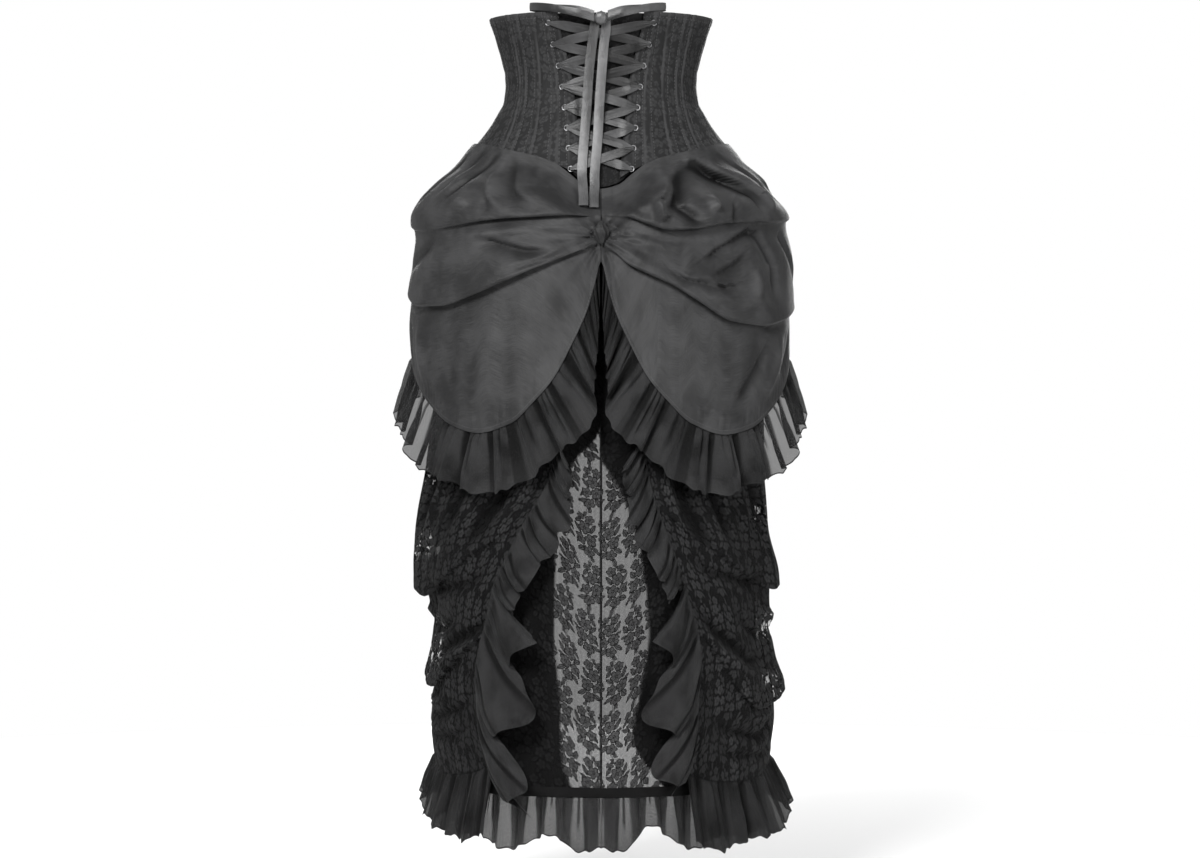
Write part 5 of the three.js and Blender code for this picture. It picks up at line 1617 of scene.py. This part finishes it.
def makeDrape(side):
    across = np.linspace(0, 1, drapes["columns"])
    folds = drapeFolds[side]
    hem = folds("hem", across)[:, None]
    rows = tuckedRows(drapes["top"] + 0 * hem[:, 0], folds, across, drapes["layers"], drapes["swell"])
    z, out, layer = finer(*rows, longest=drapes["longest"])
    share = across[:, None]
    angle = mix(drapeEdge[side]("angle", z), float(skirtFrontEdge), share)
    inside = smooth(share / 0.07) * smooth((1 - share) / 0.05)
    inside = inside * smooth((drapes["top"] - z - 60) / 60) * smooth((z - hem) / 12)
    relief = creased(angle, z, drapeCreases[side], layer) * inside
    small = 0.9 * np.sin(angle * 0.9 + z * 0.05 + 2 * np.sin(z * 0.021)) * np.sin(angle * 0.31 - z * 0.017)
    grid = drapePoint(side, angle, z, out + relief + small * inside)
    run = lengthsAlong(grid, 0)
    single = np.zeros(z.shape)
    for openAngle, height, wide, tall in drapeOpen[side]:
        uneven = 6 * np.sin(angle * 0.23 + height) + 5 * np.sin(angle * 0.61)
        near = np.exp(-(((angle - openAngle) / wide) ** 4)) * hump(z - height + uneven, tall)
        single = np.maximum(single, near)
    # painted shade in the drape's creases and painted highlight on its ridges
    values = {"fromSeam": np.minimum(run, run[-1:] - run), "pliesAndShade": 2 - single, "open": single,
              "hollow": 0.9 * smooth(-relief / 9) - 0.3 * smooth(relief / 7)}
    piece = clothPiece(named("drape", side), "lace", grid, drapes["wall"], drapeLace, values)
    declareSheet(piece)
    return {"at": across, "grid": grid, "wall": drapes["wall"]}


cascades = {
    "upper": {"waves": 6, "wave": 6, "out": 14, "swing": 0.15, "seat": 1.6, "gathers": 2},
    "lower": {"waves": 3, "wave": 9, "out": 16, "swing": 0.5, "seat": 2.1, "gathers": 3},
    "columns": 250, "rows": 28, "wall": 0.4,
}
cascadeNames = ["along", "seam", "drop", "reach"]
cascadeShapes = {
    "upper": {
        left: table(cascadeNames, [[0, -446, 46, 5], [0.5, -546, 46, 9.5], [1, -640, 36, 8]]),
        right: table(cascadeNames, [[0, -446, 48, 8], [0.5, -536, 46, 8], [1, -626, 36, 6]]),
    },
    "lower": {
        left: table(cascadeNames, [[0, -640, 62, 17], [0.5, -738, 84, 26], [1, -850, 75, 20]]),
        right: table(cascadeNames, [[0, -640, 60, 13], [0.5, -738, 82, 24], [1, -836, 62, 10]]),
    },
}


def makeCascade(side, part):
    look, shape = cascades[part], cascadeShapes[part][side]
    at = np.linspace(0, 1, cascades["columns"])[:, None]
    t = np.linspace(0, 1, cascades["rows"])[None, :]
    seam = shape("seam", at)
    edge = drapeEdge[side]("angle", seam) + 2.5
    phase = 2 * math.pi * look["waves"] * at
    opened = smooth(t * 1.2)
    swung = 1 - look["swing"] * (0.5 - 0.5 * np.cos(phase - 1))
    gathers = phase * look["gathers"] + 1.5 * np.sin(at * 23)
    small = np.cos(gathers) * (0.8 - 0.4 * t) * smooth(t * 7)
    small = small + 0.4 * np.cos(gathers * 1.9 + 1) * smooth(t * 9) * (1 - t)
    angle = edge - shape("reach", at) * t ** 1.15 * swung + 0.5 * np.sin(gathers) * opened
    z = seam - shape("drop", at) * t * (1 + 0.1 * np.sin(phase) + 0.04 * np.sin(gathers * 0.7))
    stand = mix(wall["ruffle"] + sewn["layGap"] + look["seat"], look["out"], smooth(t * 1.4))
    flute = np.cos(phase - 2.2 + 0.35 * np.sin(phase))
    grid = drapePoint(side, angle, z, stand + look["wave"] * opened * flute + 3.4 * small)
    fall = lengthsAlong(grid, 1)
    # plies past two in the troughs of the gathers are painted shade
    values = {"pliesAndShade": 2 + 0.8 * smooth(-small * 1.6), "fromHem": fall[:, -1:] - fall}
    piece = clothPiece(named(f"cascade_{part}", side), "chiffon", grid, cascades["wall"], chiffon,
                       values, 1.5)
    declareSheet(piece)


drapeRuffleLook = {
    left: {"short": 27, "flare": 0.34}, right: {"short": 17, "flare": 0.46},
    "waves": 9, "wave": 7, "narrow": 2.2, "lean": 3.0, "rows": 20, "wall": 0.35, "fullness": 1.5,
    "foldPlies": 0.9, "foldAt": 0.1, "columns": 440,
    "room": wall["lace"] - drapes["wall"] + sewn["layGap"] + 0.35,
}


def makeDrapeRuffle(side, carrier):
    look = drapeRuffleLook
    short, flare = look[side]["short"], look[side]["flare"]
    look = {**look, "width": lambda s: 88 - short * smooth((s - 0.25) / 0.2) + 3 * np.sin(s * 17),
            "flare": lambda s: mix(0.24, flare, smooth((s - 0.25) / 0.2))}
    at = np.linspace(0.01, 0.995, 400)
    at = evenly(stripOf(carrier, at, "inner")[1], at, look["columns"])
    top, edge = stripOf(carrier, at, "inner")
    out = outwards(side * mix(float(drapeEdge[side]("angle", -870)), skirtFrontEdge, at))
    s = np.linspace(0, 1, len(at))
    room = out * look["room"]
    strip = (top - room, edge - room, out, np.tile(straightDown, (len(at), 1)), s)
    pliesAndShade = 1.75 - 0.5 * smooth((s - 0.3) / 0.2)
    makeRuffle(named("drape_ruffle", side), "net", strip, look, hemNet, pliesAndShade)


for side in (left, right):
    carrier = makeDrape(side)
    makeCascade(side, "upper")
    makeCascade(side, "lower")
    makeDrapeRuffle(side, carrier)
print("drapes made")


# Stitches and eyelets, by Geometry Nodes

def geometryTree(name, inputs):
    tree = bpy.data.node_groups.new(name, "GeometryNodeTree")
    tree.interface.new_socket(name="Geometry", in_out="INPUT", socket_type="NodeSocketGeometry")
    sockets = {}
    for label, kind in inputs.items():
        made = tree.interface.new_socket(name=label, in_out="INPUT", socket_type=f"NodeSocket{kind}")
        sockets[label] = made.identifier
    tree.interface.new_socket(name="Geometry", in_out="OUTPUT", socket_type="NodeSocketGeometry")
    return tree, sockets, tree.nodes.new("NodeGroupInput").outputs, tree.nodes.new("NodeGroupOutput").inputs


def outwardOf(tree):
    return signalOf(tree, "GeometryNodeInputNamedAttribute", {"Name": "outward"}, data_type="FLOAT_VECTOR")


def finishTree(tree, given, out, copies):
    made = signalOf(tree, "GeometryNodeInstanceOnPoints", copies)
    made = signalOf(tree, "GeometryNodeRealizeInstances", {0: made})
    made = signalOf(tree, "GeometryNodeSetShadeSmooth", {0: made})
    made = signalOf(tree, "GeometryNodeSetMaterial", {0: made, "Material": given["Material"]})
    tree.links.new(made.socket, out["Geometry"])


def makeStitchTree():
    tree, sockets, given, out = geometryTree("stitchRun", {
        "Spacing": "Float", "Length": "Float", "Width": "Float", "Material": "Material"})
    curve = signalOf(tree, "GeometryNodeMeshToCurve", {0: given["Geometry"]})
    spacing = {"Curve": curve, "Length": given["Spacing"]}
    spots = signalOf(tree, "GeometryNodeResampleCurve", spacing, mode="LENGTH")
    ways = {0: signalOf(tree, "GeometryNodeInputTangent"), 1: outwardOf(tree)}
    turn = signalOf(tree, "FunctionNodeAxesToRotation", ways, primary_axis="X", secondary_axis="Z")
    size = {"X": given["Length"], "Y": given["Width"], "Z": given["Width"]}
    size = signalOf(tree, "ShaderNodeCombineXYZ", size)
    bead = signalOf(tree, "GeometryNodeMeshUVSphere", {"Segments": 6, "Rings": 4, "Radius": 0.5})
    finishTree(tree, given, out, {"Points": spots, "Instance": bead, "Rotation": turn, "Scale": size})
    return tree, sockets


def makeEyeletTree():
    tree, sockets, given, out = geometryTree("eyeletRow", {
        "Radius": "Float", "Rim": "Float", "Material": "Material"})
    turn = signalOf(tree, "FunctionNodeAlignRotationToVector", {"Vector": outwardOf(tree)}, axis="Z")
    circles = ({"Resolution": 20, "Radius": given["Radius"]}, {"Resolution": 8, "Radius": given["Rim"]})
    ring, rim = (signalOf(tree, "GeometryNodeCurvePrimitiveCircle", circle) for circle in circles)
    torus = signalOf(tree, "GeometryNodeCurveToMesh", {"Curve": ring, "Profile Curve": rim})
    spots = signalOf(tree, "GeometryNodeMeshToPoints", {0: given["Geometry"]})
    finishTree(tree, given, out, {"Points": spots, "Instance": torus, "Rotation": turn})
    return tree, sockets


def runTree(name, lines, treeAndSockets, values):
    # lines is a list of (points, outward ways); single points are lines of one
    tree, sockets = treeAndSockets
    points, outward = (np.concatenate([line[k] for line in lines]) for k in (0, 1))
    edges, start = [], 0
    for line in lines:
        edges += [(start + k, start + k + 1) for k in range(len(line[0]) - 1)]
        start += len(line[0])
    mesh = bpy.data.meshes.new(f"{name}Path")
    mesh.from_pydata((points / 1000).tolist(), edges, [])
    attribute = mesh.attributes.new("outward", "FLOAT_VECTOR", "POINT")
    attribute.data.foreach_set("vector", outward.astype(np.float32).ravel())
    path = placed(f"{name}Path", mesh)
    modifier = path.modifiers.new(name, "NODES")
    modifier.node_group = tree
    for key, value in values.items():
        modifier[sockets[key]] = value
    bpy.context.view_layer.update()
    evaluated = path.evaluated_get(bpy.context.evaluated_depsgraph_get())
    plain = bpy.data.meshes.new_from_object(evaluated)
    bpy.data.objects.remove(path)
    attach(placed(name, plain), "root")
    print(name, len(plain.polygons), "faces")


stitches = {"Spacing": 0.0042, "Length": 0.003, "Width": 0.00055, "Material": sewingThread}
eyelets = {"Radius": 0.0033, "Rim": 0.0009, "Material": eyeletMetal}


def makeEyelets():
    lines = []
    for side in (left, right):
        for row in range(lacing["rows"]):
            z = laceRow(row)
            x = side * (float(lacingGap("half", z)) + lacing["inset"])
            angle = np.degrees([np.arcsin(x / corsetRings("half", z))])
            lines.append((onRing(corsetRings, angle, z, 0.4), outwards(angle)))
    runTree("eyelets", lines, makeEyeletTree(), eyelets)


runTree("stitches", stitchLines, makeStitchTree(), stitches)
makeEyelets()
print("stitches and eyelets made")


# Floor, light and backdrop

studio = {
    "floorHeight": -1.06, "floorRadius": 2.4, "floorPoints": 96, "floorGrey": 0.72,
    "backdrop": 1.0, "fill": 0.4, "aim": (0, 0, -0.4),
    "lights": [
        {"name": "keyLight", "at": (-1.3, -3.2, 1.7), "size": 1.3, "watts": 260},
        {"name": "fillLight", "at": (2.2, -2.8, 0.1), "size": 1.6, "watts": 80},
        {"name": "backLight", "at": (0.3, 3.6, 1.0), "size": 3.0, "watts": 150},
    ],
}


def makeStudio():
    scene = bpy.context.scene
    scene.view_settings.view_transform = "Standard"
    world = bpy.data.worlds.new("studioWorld")
    world.use_nodes = True
    tree = world.node_tree
    # the white backdrop is brighter than the light that it gives the cloth
    seen = signalOf(tree, "ShaderNodeLightPath", None, "Is Camera Ray")
    strength = {"Value": seen, "To Min": studio["fill"], "To Max": studio["backdrop"]}
    backdrop = tree.nodes["Background"]
    backdrop.inputs["Color"].default_value = (1, 1, 1, 1)
    connect(signalOf(tree, "ShaderNodeMapRange", strength), backdrop, "Strength")
    scene.world = world
    turn = np.linspace(0, 2 * math.pi, studio["floorPoints"], endpoint=False)
    disc = np.stack([np.cos(turn), np.sin(turn), 0 * turn], -1) * studio["floorRadius"] * 1000
    disc[:, 2] = studio["floorHeight"] * 1000
    grey = (studio["floorGrey"],) * 3 + (1,)
    material = newMaterial("paleFloor", Base_Color=grey, Roughness=0.8)[0]
    meshObject("studioFloor", disc, [list(range(len(disc)))], material=material)
    for look in studio["lights"]:
        data = bpy.data.lights.new(look["name"], "AREA")
        data.size = look["size"]
        data.energy = look["watts"]
        light = placed(look["name"], data)
        light.location = look["at"]
        aim = np.array(studio["aim"]) - np.array(look["at"])
        light.rotation_euler = mathutils.Vector(aim).to_track_quat("-Z", "Y").to_euler()


makeStudio()
print("studio made")

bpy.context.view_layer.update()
for name, flat in flatSizes.items():
    print("flat", name, *flat)
